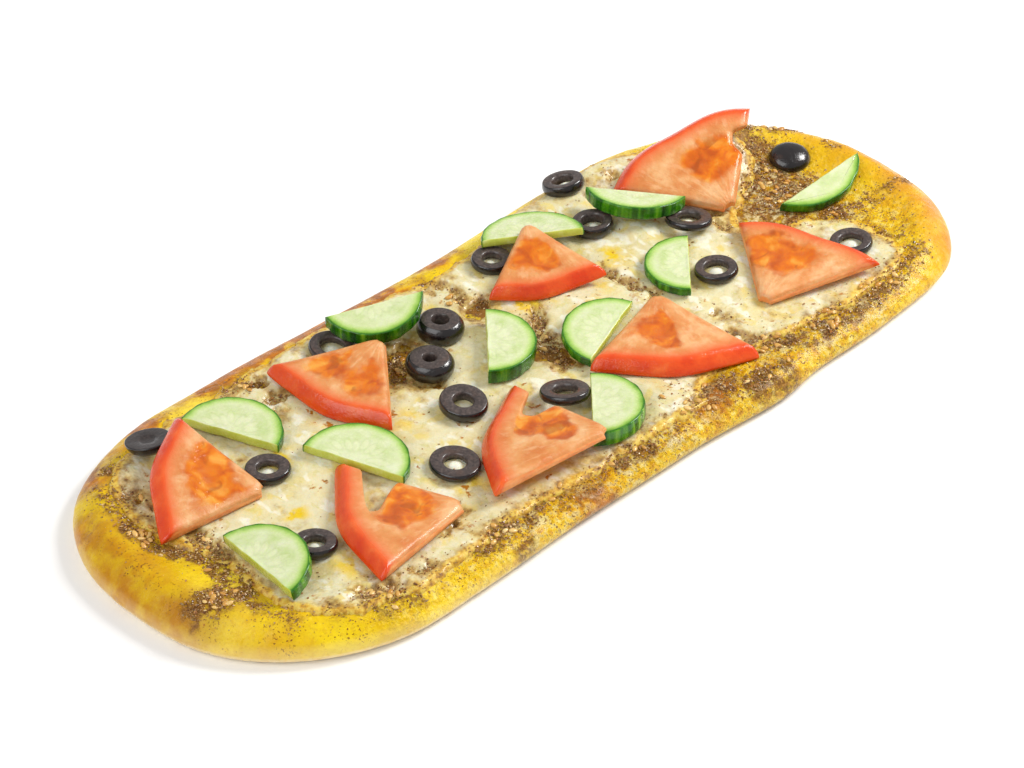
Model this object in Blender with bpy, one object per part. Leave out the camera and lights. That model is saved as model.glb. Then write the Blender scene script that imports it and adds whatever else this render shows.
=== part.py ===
"""Oval zaatar flatbread with melted cheese, tomato wedges, half slices of cucumber and black olive rings.

Units are metres, +Z is up, and the long side runs along X.
Plan layouts are written in millimetres and degrees, with headings anticlockwise from +X.
The finished food is moved so that the origin is the middle of the flat underside it rests on.
"""

import math
import random

import bmesh
import bpy
import numpy as np
from mathutils import Matrix, Vector, noise
from mathutils.bvhtree import BVHTree
from mathutils.geometry import delaunay_2d_cdt

MM = 0.001
UP = Vector((0, 0, 1))

# Bread: its outline seen from above, anticlockwise from the far right end
BREAD_OUTLINE_MM = [
    (185, 0), (176, 33), (158, 54), (120, 72), (86, 75), (55, 74), (22, 72), (-3, 72),
    (-43, 73), (-89, 74), (-128, 72), (-161, 57), (-178, 31), (-181, 0), (-174, -31),
    (-153, -55), (-122, -69), (-85, -70), (-41, -68), (-3, -68), (24, -68), (59, -70),
    (82, -67), (118, -66), (159, -59), (181, -33),
]
RIM_COLUMNS = 144
EDGE_HEIGHT = 4.2 * MM
SHOULDER_WIDTH = 9 * MM
CRUMB_HEIGHT = 7.9 * MM
RIM_RISE = 1.7 * MM
RIM_INSET = 11 * MM
RIM_SPREAD = 8 * MM
BREAD_RELIEF = 0.55 * MM
BREAD_RELIEF_SCALE = 17 * MM

# Side rings of the bread, from the underside up: inset from the outline, share of the edge height
SIDE_RINGS = [(4.0 * MM, 0.0), (1.2 * MM, 0.3), (0.0, 1.0)]
# Top rings of the bread's shoulder: inset from the outline
SHOULDER_RINGS = [1.0 * MM, 3.0 * MM]
CHEESE_LEAST_MARGIN = 4.2 * MM

# Swollen places in the dough: x, y, rise, radius
PUFFS_MM = [
    (-163, 22, 2.2, 24), (-158, -22, 2.8, 26), (-128, -56, 2.2, 24), (-80, -60, 1.0, 22),
    (138, 42, 13.5, 16), (131, 1, 2.2, 14), (168, 12, 2.6, 22), (160, -38, 2.0, 24), (60, -62, 1.4, 20),
    (100, 63, 1.6, 18), (-60, 62, 0.8, 22), (10, -61, 0.8, 18),
]

# Cheese: its outline seen from above, anticlockwise
CHEESE_OUTLINE_MM = [
    (-150, 52), (-157, 31), (-154, 11), (-149, -4), (-148, -32), (-141, -52), (-117, -61),
    (-93, -61), (-63, -58), (-40, -58), (-2, -59), (29, -58), (38, -50), (69, -49), (100, -54),
    (138, -52), (148, -37), (142, -14), (117, -4), (115, 10), (143, 26), (134, 50), (98, 70),
    (56, 69), (23, 60), (3, 60), (-34, 64), (-83, 63), (-127, 60),
]
CHEESE_THICKNESS = 2.0 * MM
CHEESE_EDGE_THICKNESS = 0.9 * MM
CHEESE_TAPER = 7 * MM
CHEESE_RELIEF = 0.7 * MM
CHEESE_RELIEF_SCALE = 13 * MM
CHEESE_COLUMNS = 112
RAGGED = 2.2 * MM
# Gaps in the cheese where the zaatar shows: x, y, length, width, heading
CHEESE_HOLES_MM = [(-35, 34, 22, 12, 35), (10, -1, 18, 11, -50), (8, 36, 12, 8, 20)]
HOLE_COLUMNS = 12
# Lumps where the cheese has gathered: x, y, rise, radius
CHEESE_LUMPS_MM = [
    (-32, 40, 2.8, 7), (84, 31, 3.0, 8), (-30, 2, 1.2, 9), (40, 8, 1.2, 14), (-90, 15, 1.0, 14),
    (100, -15, 1.2, 13), (-128, 10, 0.8, 12), (-60, 0, 0.9, 12), (20, -40, 1.0, 12),
]

INNER_SPACING = 8.2 * MM
GAP = 0.35 * MM

# Tomato wedges: name, core x and y, heading of the skin, sweep, radius, thickness,
# depth of the pocket that the cut laid open
TOMATOES = [
    ("tomato_1", -114.7, 8.7, 137, 76, 44.3, 5.2, 0),
    ("tomato_2", -35.5, 38.2, -167, 77, 43.5, 5.5, 0),
    ("tomato_3", -69, -43, 153, 77, 50, 5.0, 0.45),
    ("tomato_4", 45.8, 51, -118, 71, 38.2, 4.6, 0),
    ("tomato_5", -13.5, -56.5, 132, 77, 50, 5.0, 0.24),
    ("tomato_6", 58.5, -4.7, -124.5, 75, 50.3, 5.5, 0),
    ("tomato_7", 115.8, 11.5, 80, 86, 47.5, 5.5, 0.1),
    ("tomato_8", 83, -35, 17.5, 73, 48, 5.0, 0),
]
# Seed pockets, across the wedge from -1 to 1 and out from the core from 0 to 1: place, then spread
POCKETS = {
    "tomato_1": [(-0.50, 0.56, 0.40, 0.17), (0.30, 0.46, 0.40, 0.17)],
    "tomato_2": [(-0.45, 0.60, 0.30, 0.18), (0.50, 0.58, 0.32, 0.20)],
    "tomato_3": [(-0.45, 0.52, 0.36, 0.16), (0.10, 0.42, 0.42, 0.13)],
    "tomato_4": [(-0.35, 0.48, 0.42, 0.20), (0.22, 0.56, 0.26, 0.16)],
    "tomato_5": [(-0.50, 0.60, 0.34, 0.14), (0.10, 0.38, 0.34, 0.10)],
    "tomato_6": [(-0.35, 0.50, 0.32, 0.14), (-0.05, 0.58, 0.16, 0.20)],
    "tomato_7": [(-0.30, 0.52, 0.42, 0.17), (-0.80, 0.56, 0.20, 0.10)],
    "tomato_8": [(0.62, 0.62, 0.30, 0.18), (-0.12, 0.60, 0.34, 0.18)],
}
SKIN_LEAN = 3.2 * MM
SKIN_FLATNESS = 0.09
TOMATO_EDGE = 0.3 * MM
CORE_CUT = 0.07
CORE_THICKNESS = 0.7
CUT_EDGE_DROOP = 0.35
POCKET_DEPTH = 1.2 * MM
MOUTH_AT = 0.68
MOUTH_SPREAD = 0.11

# Cucumber slices: name, middle of the straight cut x and y, heading of the rind, radius, thickness,
# share of half a disc
CUCUMBERS = [
    ("cucumber_1", -106, 39.7, 24, 18.8, 3.9, 0.99),
    ("cucumber_2", -84.8, -1.4, 22.5, 19.5, 3.7, 1.02),
    ("cucumber_3", -143.5, -21, -3, 19.3, 4.8, 0.92),
    ("cucumber_4", -28, 52, -114, 19, 6.0, 0.76),
    ("cucumber_5", -8, 14, -41, 17.8, 6.0, 1.0),
    ("cucumber_6", 30.3, -10.7, 111, 18, 3.6, 1.0),
    ("cucumber_7", -5.1, -37.6, -42, 17.6, 6.0, 1.06),
    ("cucumber_8", 44.5, 45.5, 57, 19.3, 3.2, 0.98),
    ("cucumber_9", 90, 38, -140, 20, 5.0, 0.68),
    ("cucumber_10", 79.5, -1.4, 137, 16.4, 3.4, 1.02),
    ("cucumber_11", 151, 0.7, -89.5, 26, 4.0, 0.42),
]
CUCUMBER_ARC = 13
CUCUMBER_EDGE = 0.5 * MM

# Olive slices: name, x, y, outer radius, height, hole radius, lean, heading of the raised side.
# Without a hole it is an end of the olive, domed side up, and below zero it lies cut side up.
OLIVES = [
    ("olive_1", -132, 51.5, 7.8, 5.0, -1, 14, -95),
    ("olive_2", -107.5, 17.5, 7.9, 3.0, 3.8, 0, 0),
    ("olive_3", -121, -23.2, 7.6, 3.4, 3.6, 0, 0),
    ("olive_4", -48.5, 52, 8.4, 3.0, 4.3, 0, 0),
    ("olive_5", -12.5, 34, 8.6, 6.5, 3.0, 0, 0),
    ("olive_6", -29, 21, 8.7, 6.0, 2.4, 0, 0),
    ("olive_7", -35, -3, 8.6, 4.0, 3.6, 0, 0),
    ("olive_8", -58, -24, 9.1, 2.8, 4.2, 0, 0),
    ("olive_9", -6, -24.7, 9.0, 3.2, 4.4, 16, -115),
    ("olive_10", 28, 50.5, 7.5, 3.4, 3.4, 0, 0),
    ("olive_11", 79.5, 65.5, 7.9, 4.2, 4.0, 0, 0),
    ("olive_12", 70.5, 40.5, 7.7, 4.2, 4.0, 0, 0),
    ("olive_13", 98.5, 18, 8.8, 2.8, 4.4, 11, -133),
    ("olive_14", 85, -10, 7.9, 3.2, 4.4, 0, 0),
    ("olive_15", 155.5, 20, 7.6, 3.9, 0, 0, 0),
    ("olive_16", 133, -33, 7.8, 3.2, 4.2, 0, 0),
]
OLIVE_SEGMENTS = 12
OLIVE_OVAL = 0.045
OLIVE_EDGE = 0.6 * MM
END_PIECE_HEIGHT = 5.5 * MM
END_PIECE_TAPER = 1.2 * MM

# Pieces lie on those named before them in this order
LAYING_ORDER = [
    "olive_1", "olive_2", "olive_3", "olive_4", "olive_5", "olive_6", "olive_7", "olive_8",
    "olive_9", "olive_10", "olive_11", "olive_12", "olive_13", "olive_14", "olive_15", "olive_16",
    "cucumber_1", "cucumber_2", "cucumber_3", "cucumber_4", "cucumber_5", "cucumber_6",
    "cucumber_7", "cucumber_8", "cucumber_10", "cucumber_11", "tomato_1", "tomato_2",
    "tomato_3", "tomato_4", "tomato_5", "tomato_6", "tomato_7", "tomato_8", "cucumber_9",
]

# Sesame seeds and crumbs of zaatar baked onto the bread
SEED_COUNT = 62
SEED_SIZE = (3.1 * MM, 2.0 * MM, 1.3 * MM)
SEED_CLEARANCE = 2.6 * MM
SEED_SPACING = 4.2 * MM
SEED_MARGINS_MM = (7, 34)
SEED_SPREAD = 11

COLOURS = {
    "bread": ((0.80, 0.50, 0.13), 0.45),
    "cheese": ((0.88, 0.82, 0.60), 0.35),
    "tomato": ((0.85, 0.22, 0.08), 0.25),
    "cucumber": ((0.50, 0.68, 0.32), 0.25),
    "olive": ((0.035, 0.028, 0.032), 0.2),
}


# Curves in plan

def smooth_loop(points, count):
    """Evenly spaced points on a closed Catmull-Rom curve through the given ones."""
    p = np.array(points, float)
    before, after, next_after = np.roll(p, 1, 0), np.roll(p, -1, 0), np.roll(p, -2, 0)
    dense = []
    for t in np.linspace(0, 1, 24, endpoint=False):
        dense.append(0.5 * (
            2 * p + (after - before) * t
            + (2 * before - 5 * p + 4 * after - next_after) * t ** 2
            + (3 * p - before - 3 * after + next_after) * t ** 3
        ))
    dense = np.stack(dense, axis=1).reshape(-1, 2)
    return resampled(dense, count)


def resampled(loop, count):
    """The closed polyline with its points spread evenly along it."""
    closed = np.vstack([loop, loop[:1]])
    along = np.concatenate([[0], np.cumsum(np.linalg.norm(np.diff(closed, axis=0), axis=1))])
    at = np.linspace(0, along[-1], count, endpoint=False)
    return np.stack([np.interp(at, along, closed[:, k]) for k in (0, 1)], axis=1)


def outward(loop):
    """Unit normals of an anticlockwise loop, pointing out."""
    tangent = np.roll(loop, -1, 0) - np.roll(loop, 1, 0)
    tangent /= np.linalg.norm(tangent, axis=1)[:, None]
    return np.stack([tangent[:, 1], -tangent[:, 0]], axis=1)


def distance_to(loop, points):
    """Distance from each point to the nearest stretch of the closed polyline."""
    start, end = loop, np.roll(loop, -1, 0)
    side = end - start
    length = (side ** 2).sum(1)
    nearest = np.full(len(points), np.inf)
    for a, s, l in zip(start, side, length):
        t = np.clip(((points - a) @ s) / l, 0, 1)
        nearest = np.minimum(nearest, np.linalg.norm(points - a - t[:, None] * s, axis=1))
    return nearest


def inside(loop, points):
    """Whether each point lies inside the closed polyline."""
    x, y = points[:, 0], points[:, 1]
    crossings = np.zeros(len(points), int)
    for (x0, y0), (x1, y1) in zip(loop, np.roll(loop, -1, 0)):
        if y0 == y1:
            continue
        between = (y0 > y) != (y1 > y)
        crossings += between & (x < (x1 - x0) * (y - y0) / (y1 - y0) + x0)
    return crossings % 2 == 1


def bumps(points, places_mm):
    """Sum of round swells, each given as x, y, rise and radius."""
    total = np.zeros(len(points))
    for x, y, rise, radius in places_mm:
        away = np.linalg.norm(points - np.array([x, y]) * MM, axis=1) / (radius * MM)
        total += rise * MM * np.exp(-away ** 2)
    return total


def ripple(points, scale, seed):
    """Smooth noise from -1 to 1 over the plan."""
    return np.array([noise.noise(Vector((x / scale, y / scale, seed))) for x, y in points])


BREAD_EDGE = smooth_loop(np.array(BREAD_OUTLINE_MM) * MM, RIM_COLUMNS)


def cheese_edge():
    """The cheese's ragged edge, kept on top of the bread."""
    base = smooth_loop(np.array(CHEESE_OUTLINE_MM) * MM, CHEESE_COLUMNS)
    base += outward(base) * (RAGGED * ripple(base, 9 * MM, 3.7))[:, None]
    for _ in range(3):
        short = CHEESE_LEAST_MARGIN - distance_to(BREAD_EDGE, base)
        short[~inside(BREAD_EDGE, base)] += 2 * CHEESE_LEAST_MARGIN
        base -= outward(base) * np.maximum(short, 0)[:, None]
    return base


def cheese_holes():
    holes = []
    for x, y, length, width, heading in CHEESE_HOLES_MM:
        turn = math.radians(heading)
        along = np.array([math.cos(turn), math.sin(turn)])
        across = np.array([-along[1], along[0]])
        ring = []
        for k in range(HOLE_COLUMNS):
            a = 2 * math.pi * k / HOLE_COLUMNS
            wobble = 1 + 0.18 * math.sin(3 * a + x)
            ring.append(np.array([x, y]) + wobble * (
                along * length / 2 * math.cos(a) + across * width / 2 * math.sin(a)))
        holes.append(np.array(ring) * MM)
    return holes


CHEESE_EDGE = cheese_edge()
CHEESE_HOLES = cheese_holes()


def bread_top(points):
    """Height of the bread's upper side over points of the plan."""
    points = np.asarray(points, float)
    inset = distance_to(BREAD_EDGE, points)
    ends = np.clip((abs(points[:, 0]) / MM - 110) / 50, 0, 1)
    rim = RIM_RISE * (1 + 1.2 * ends) * np.exp(-((inset - RIM_INSET) / RIM_SPREAD) ** 2)
    crown = CRUMB_HEIGHT + rim + bumps(points, PUFFS_MM)
    crown += BREAD_RELIEF * ripple(points, BREAD_RELIEF_SCALE, 0.3)
    crown += 0.4 * BREAD_RELIEF * ripple(points, BREAD_RELIEF_SCALE / 3, 5.1)
    rounding = np.clip(1 - inset / SHOULDER_WIDTH, 0, 1)
    return EDGE_HEIGHT + (crown - EDGE_HEIGHT) * np.sqrt(1 - rounding ** 2)


def cheese_thickness(points):
    """Thickness of the cheese, thin at its edge and round its holes."""
    away = distance_to(CHEESE_EDGE, points)
    for hole in CHEESE_HOLES:
        away = np.minimum(away, distance_to(hole, points))
    full = CHEESE_THICKNESS + bumps(points, CHEESE_LUMPS_MM)
    full += CHEESE_RELIEF * ripple(points, CHEESE_RELIEF_SCALE, 8.2)
    rise = np.clip(away / CHEESE_TAPER, 0, 1)
    return CHEESE_EDGE_THICKNESS + (full - CHEESE_EDGE_THICKNESS) * np.sqrt(rise)


# Mesh helpers

def material(kind):
    found = bpy.data.materials.get(kind)
    if found:
        return found
    made = bpy.data.materials.new(kind)
    made.use_nodes = True
    shader = made.node_tree.nodes["Principled BSDF"]
    colour, roughness = COLOURS[kind]
    shader.inputs["Base Color"].default_value = (*colour, 1)
    shader.inputs["Roughness"].default_value = roughness
    return made


def solid(name, vertices, faces, kind):
    """A closed object with its faces turned out."""
    mesh = bpy.data.meshes.new(name)
    mesh.from_pydata([tuple(v) for v in vertices], [], faces)
    work = bmesh.new()
    work.from_mesh(mesh)
    bmesh.ops.recalc_face_normals(work, faces=work.faces)
    work.to_mesh(mesh)
    work.free()
    mesh.materials.append(material(kind))
    mesh.shade_smooth()
    mesh.set_sharp_from_angle(angle=math.radians(50))
    made = bpy.data.objects.new(name, mesh)
    bpy.context.scene.collection.objects.link(made)
    return made


def bands(rings, closed=True):
    """Quads between successive rings, each a list of vertex numbers of one length."""
    faces = []
    for low, high in zip(rings, rings[1:]):
        last = len(low) if closed else len(low) - 1
        for k in range(last):
            j = (k + 1) % len(low)
            faces.append((low[k], low[j], high[j], high[k]))
    return faces


def triangle_field(outer):
    """Triangulates the plan inside outer, with the cheese's edges as seams. Returns points, triangles."""
    seams = [CHEESE_EDGE, *CHEESE_HOLES]
    low, high = outer.min(0), outer.max(0)
    row_step = INNER_SPACING * math.sqrt(3) / 2
    grid = []
    for row, y in enumerate(np.arange(low[1], high[1], row_step)):
        shift = INNER_SPACING / 2 * (row % 2)
        grid += [(x + shift, y) for x in np.arange(low[0], high[0], INNER_SPACING)]
    grid = np.array(grid)
    keep = inside(outer, grid) & (distance_to(outer, grid) > 0.55 * INNER_SPACING)
    for seam in seams:
        keep &= distance_to(seam, grid) > 0.45 * INNER_SPACING
    grid = grid[keep]
    points, edges = list(map(tuple, outer)), []
    for seam in seams:
        first = len(points)
        points += list(map(tuple, seam))
        edges += [(first + k, first + (k + 1) % len(seam)) for k in range(len(seam))]
    points += list(map(tuple, grid))
    result = delaunay_2d_cdt([Vector(p) for p in points], edges, [list(range(len(outer)))], 1, 1e-7)
    return np.array([tuple(v) for v in result[0]]), [tuple(f) for f in result[2]]


def build_bread_and_cheese():
    """The bread's core and the cheese, which share one plan mesh so that a constant gap parts them."""
    normals = outward(BREAD_EDGE)
    vertices, rings = [], []

    def ring(inset, heights):
        first = len(vertices)
        for p, z in zip(BREAD_EDGE - normals * inset, heights):
            vertices.append((p[0], p[1], z))
        rings.append(list(range(first, first + RIM_COLUMNS)))

    for inset, share in SIDE_RINGS:
        ring(inset, [EDGE_HEIGHT * share] * RIM_COLUMNS)
    for inset in SHOULDER_RINGS:
        ring(inset, bread_top(BREAD_EDGE - normals * inset))
    faces = bands(rings)
    faces.append(tuple(reversed(rings[0])))

    plan, triangles = triangle_field(BREAD_EDGE - normals * SHOULDER_RINGS[-1])
    top = bread_top(plan)
    number = {}
    for k, (p, z) in enumerate(zip(plan, top)):
        if k < RIM_COLUMNS:
            number[k] = rings[-1][k]
            continue
        number[k] = len(vertices)
        vertices.append((p[0], p[1], z))
    faces += [tuple(number[k] for k in t) for t in triangles]
    bread = solid("bread", vertices, faces, "bread")

    middles = np.array([plan[list(t)].mean(0) for t in triangles])
    covered = inside(CHEESE_EDGE, middles)
    for hole in CHEESE_HOLES:
        covered &= ~inside(hole, middles)
    chosen = [t for t, there in zip(triangles, covered) if there]
    used = sorted({k for t in chosen for k in t})
    thickness = cheese_thickness(plan[used])
    under = {k: n for n, k in enumerate(used)}
    over = {k: n + len(used) for n, k in enumerate(used)}
    low = [(*plan[k], top[k] + GAP) for k in used]
    high = [(*plan[k], top[k] + GAP + t) for k, t in zip(used, thickness)]
    cheese_faces = [tuple(under[k] for k in t[::-1]) for t in chosen]
    cheese_faces += [tuple(over[k] for k in t) for t in chosen]
    directed = {(t[k], t[(k + 1) % 3]) for t in chosen for k in range(3)}
    for a, b in directed:
        if (b, a) not in directed:
            cheese_faces.append((under[a], under[b], over[b], over[a]))
    cheese = solid("cheese", low + high, cheese_faces, "cheese")
    return bread, cheese


# Toppings, each modelled lying flat with its underside at z = 0

def tomato_mesh(sweep, radius, thickness, mouth_depth, pockets):
    """A wedge cut from a tomato slice: leaning skin, thinner core and cut edges, and seed pockets."""
    radial, around = 6, 9
    half = math.radians(sweep) / 2
    vertices, top = [], []

    def plan(share, side, edge):
        """Plan position at a share of the radius and from -1 to 1 across the wedge."""
        mouth = math.exp(-((share - MOUTH_AT) / MOUTH_SPREAD) ** 4) * mouth_depth
        low = -1 + 2 * mouth
        angle = half * (low + (1 - low) * (side + 1) / 2)
        lobes = 1 + 0.018 * math.cos(7 * angle + radius / MM)
        flat = 1 - SKIN_FLATNESS * math.cos(math.pi / 2 * side)
        reach = radius * lobes * flat * share - edge
        return reach * math.cos(angle), reach * math.sin(angle)

    def height(share, side):
        """Thickness there, before any pocket is sunk in it."""
        full = CORE_THICKNESS + (1 - CORE_THICKNESS) * share
        droop = CUT_EDGE_DROOP * (1 - 0.7 * share) * side ** 4
        return thickness * full * (1 - droop)

    for i in range(radial + 1):
        share = CORE_CUT + (1 - CORE_CUT) * i / radial
        row = []
        for j in range(around + 1):
            side = -1 + 2 * j / around
            on_rim = i in (0, radial) or j in (0, around)
            x, y = plan(share, side, SKIN_LEAN * share ** 3)
            hollow = sum(
                math.exp(-((side - s) / wide) ** 2 - ((share - r) / long) ** 2)
                for s, r, wide, long in pockets)
            z = height(share, side) - POCKET_DEPTH * hollow * share - (TOMATO_EDGE if on_rim else 0)
            row.append(len(vertices))
            vertices.append((x, y, z))
        top.append(row)
    faces = bands(top, closed=False)
    rim = [(0, j) for j in range(around)] + [(i, around) for i in range(radial)]
    rim += [(radial, j) for j in range(around, 0, -1)] + [(i, 0) for i in range(radial, 0, -1)]
    rings = [[top[i][j] for i, j in rim]]
    for level, lean, swell in ((0.6, 0.45, 0.5 * MM), (0.0, 0.0, 0.3 * MM)):
        first = len(vertices)
        for i, j in rim:
            share = CORE_CUT + (1 - CORE_CUT) * i / radial
            side = -1 + 2 * j / around
            x, y = plan(share, side, SKIN_LEAN * lean * share ** 3)
            grow = swell * (1 if j == around else -1 if j == 0 else 0)
            across = math.atan2(y, x) + math.pi / 2
            z = level * height(share, side)
            vertices.append((x + grow * math.cos(across), y + grow * math.sin(across), z))
        rings.append(list(range(first, first + len(rim))))
    faces += bands(rings)
    faces.append(tuple(rings[-1]))
    return vertices, faces


def cucumber_mesh(radius, thickness, share):
    """Half a round slice, with its straight cut through the origin along Y and the rind towards +X."""
    start = radius * (1 - share)
    half = math.acos(start / radius)
    loop = []
    for k in range(CUCUMBER_ARC + 1):
        a = -half + 2 * half * k / CUCUMBER_ARC
        loop.append((radius * math.cos(a) - start, radius * math.sin(a)))
    reach = radius * math.sin(half)
    loop += [(0.0, reach * y) for y in (0.5, 0.0, -0.5)]
    loop = np.array(loop)
    normals = outward(loop)
    vertices, rings = [], []
    for inset, z in ((0.6 * CUCUMBER_EDGE, 0.0), (0.0, CUCUMBER_EDGE),
                     (0.0, thickness - CUCUMBER_EDGE), (CUCUMBER_EDGE, thickness)):
        first = len(vertices)
        vertices += [(x, y, z) for x, y in loop - normals * inset]
        rings.append(list(range(first, first + len(loop))))
    faces = bands(rings)
    faces += [tuple(reversed(rings[0])), tuple(rings[-1])]
    return vertices, faces


def turned(profile):
    """Rings of vertices from a profile of radius and height, slightly oval."""
    vertices, rings = [], []
    for r, z in profile:
        first = len(vertices)
        for k in range(OLIVE_SEGMENTS):
            a = 2 * math.pi * k / OLIVE_SEGMENTS
            oval = 1 + OLIVE_OVAL * math.cos(2 * a + profile[1][0] / MM)
            vertices.append((r * oval * math.cos(a), r * oval * math.sin(a), z))
        rings.append(list(range(first, first + OLIVE_SEGMENTS)))
    return vertices, rings


def olive_mesh(radius, height, hole):
    """A ring with a rounded side, drawn in at the top where it is tall, or an end piece."""
    if hole <= 0:
        angles = (0, 0.42, 0.84, 1.22)
        profile = [(radius * math.cos(a), height * math.sin(a)) for a in angles]
        tip = height
        if hole < 0:
            profile = [(radius * math.cos(a) ** 0.6, height * (1 - math.sin(a))) for a in angles]
            tip = 0.0
        vertices, rings = turned(profile)
        vertices.append((0, 0, tip))
        faces = bands(rings) + [tuple(reversed(rings[0]))]
        last = len(vertices) - 1
        faces += [(rings[-1][k - 1], rings[-1][k], last) for k in range(OLIVE_SEGMENTS)]
        return vertices, faces
    drawn_in = OLIVE_EDGE + (END_PIECE_TAPER if height > END_PIECE_HEIGHT else 0)
    profile = [
        (hole, 0.0), (radius - OLIVE_EDGE, 0.0), (radius, 0.45 * height),
        (radius - drawn_in, height), (hole + 0.3 * MM, height), (hole - 0.3 * MM, 0.5 * height),
    ]
    vertices, rings = turned(profile)
    return vertices, bands(rings + rings[:1])


# Resting

def sample_footprint(vertices, step=1.3 * MM):
    """Points spread over the plan of a shape's underside."""
    flat = np.array([v[:2] for v in vertices])
    low, high = flat.min(0), flat.max(0)
    hull = convex_loop(flat)
    grid = np.array([(x, y) for x in np.arange(low[0], high[0], step)
                     for y in np.arange(low[1], high[1], step)])
    return np.vstack([grid[inside(hull, grid)], flat])


def convex_loop(points):
    """Convex hull of points in plan, anticlockwise."""
    ordered = sorted(map(tuple, np.round(points, 7)))
    halves = []
    for run in (ordered, ordered[::-1]):
        half = []
        for p in run:
            while len(half) > 1 and (
                (half[-1][0] - half[-2][0]) * (p[1] - half[-2][1])
                - (half[-1][1] - half[-2][1]) * (p[0] - half[-2][0])
            ) <= 0:
                half.pop()
            half.append(p)
        halves += half[:-1]
    return np.array(halves)


def support_heights(trees, points):
    """Height of whatever lies highest under each point of the plan."""
    heights = np.zeros(len(points))
    for tree in trees:
        for k, (x, y) in enumerate(points):
            hit = tree.ray_cast(Vector((x, y, 0.2)), -UP)[0]
            if hit is not None:
                heights[k] = max(heights[k], hit.z)
    return heights


def resting_plane(points, heights, centre):
    """The plane that lies on the heights with its middle as low as it can be: slopes and middle height."""
    local = points - centre
    best, reach = np.zeros(2), 0.45
    for _ in range(9):
        trials = [best + reach * np.array([i, j]) / 4 for i in range(-4, 5) for j in range(-4, 5)]
        levels = [(heights - local @ slope).max() for slope in trials]
        best = trials[int(np.argmin(levels))]
        reach /= 2.6
    return best, (heights - local @ best).max()


def lay_down(name, mesh, kind, x, y, heading, lean, trees):
    """Turns a flat piece to its heading and lets it settle, or sink at a lean, on what lies below."""
    vertices, faces = mesh
    turn = Matrix.Rotation(math.radians(heading), 3, "Z")
    turned = np.array([tuple(turn @ Vector(v)) for v in vertices])
    place = np.array([x, y]) * MM
    footprint = sample_footprint(turned) + place
    centre = footprint.mean(0)
    heights = support_heights(trees, footprint)
    if lean:
        angle, raised = map(math.radians, lean)
        slope = math.tan(angle) * np.array([math.cos(raised), math.sin(raised)])
        level = (heights - (footprint - centre) @ slope).max()
    else:
        slope, level = resting_plane(footprint, heights, centre)
    normal = Vector((-slope[0], -slope[1], 1)).normalized()
    tilt = UP.rotation_difference(normal).to_matrix()
    middle = Vector((*(centre - place), 0))
    made = solid(name, turned, faces, kind)
    made.matrix_world = (
        Matrix.Translation(Vector((*centre, level + GAP)))
        @ tilt.to_4x4()
        @ Matrix.Translation(-middle)
    )
    bpy.context.view_layer.update()
    return made


def tree_of(made):
    """A search tree of the object's faces in place."""
    mesh = made.data
    points = [made.matrix_world @ v.co for v in mesh.vertices]
    return BVHTree.FromPolygons(points, [tuple(p.vertices) for p in mesh.polygons])


def lay_toppings(bread, cheese):
    recipes = {}
    for name, x, y, heading, sweep, radius, thickness, mouth in TOMATOES:
        mesh = tomato_mesh(sweep, radius * MM, thickness * MM, mouth, POCKETS[name])
        recipes[name] = (mesh, "tomato", x, y, heading, None)
    for name, x, y, heading, radius, thickness, share in CUCUMBERS:
        mesh = cucumber_mesh(radius * MM, thickness * MM, share)
        recipes[name] = (mesh, "cucumber", x, y, heading, None)
    for name, x, y, radius, height, hole, lean, raised in OLIVES:
        mesh = olive_mesh(radius * MM, height * MM, hole * MM)
        recipes[name] = (mesh, "olive", x, y, 0, (lean, raised) if lean else None)
    trees = [tree_of(bread), tree_of(cheese)]
    for name in LAYING_ORDER:
        trees.append(tree_of(lay_down(name, *recipes[name], trees)))
    return trees[1:]


# Seeds

def seed_places(trees):
    """Places on the bare rim and in the cheese's gaps, clear of everything that lies on the bread."""
    draw = random.Random(11)
    found = []
    for _ in range(6000):
        k = draw.randrange(RIM_COLUMNS)
        inset = (SEED_MARGINS_MM[0] + draw.expovariate(1 / SEED_SPREAD)) * MM
        if inset > SEED_MARGINS_MM[1] * MM:
            continue
        p = BREAD_EDGE[k] - outward(BREAD_EDGE)[k] * inset
        p = p + np.array([draw.uniform(-3, 3), draw.uniform(-3, 3)]) * MM
        clear = not inside(CHEESE_EDGE, p[None])[0]
        clear &= distance_to(CHEESE_EDGE, p[None])[0] > SEED_CLEARANCE
        clear &= all(np.linalg.norm(p - q) > SEED_SPACING for q in found)
        if clear and not covered_by(trees, p):
            found.append(p)
        if len(found) == SEED_COUNT:
            break
    return found


def covered_by(trees, p):
    """Whether anything lies over the place or within a seed's reach of it."""
    for k in range(9):
        a = 2 * math.pi * k / 8
        reach = SEED_CLEARANCE if k < 8 else 0
        start = Vector((p[0] + reach * math.cos(a), p[1] + reach * math.sin(a), 0.2))
        if any(tree.ray_cast(start, -UP)[0] is not None for tree in trees):
            return True
    return False


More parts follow.
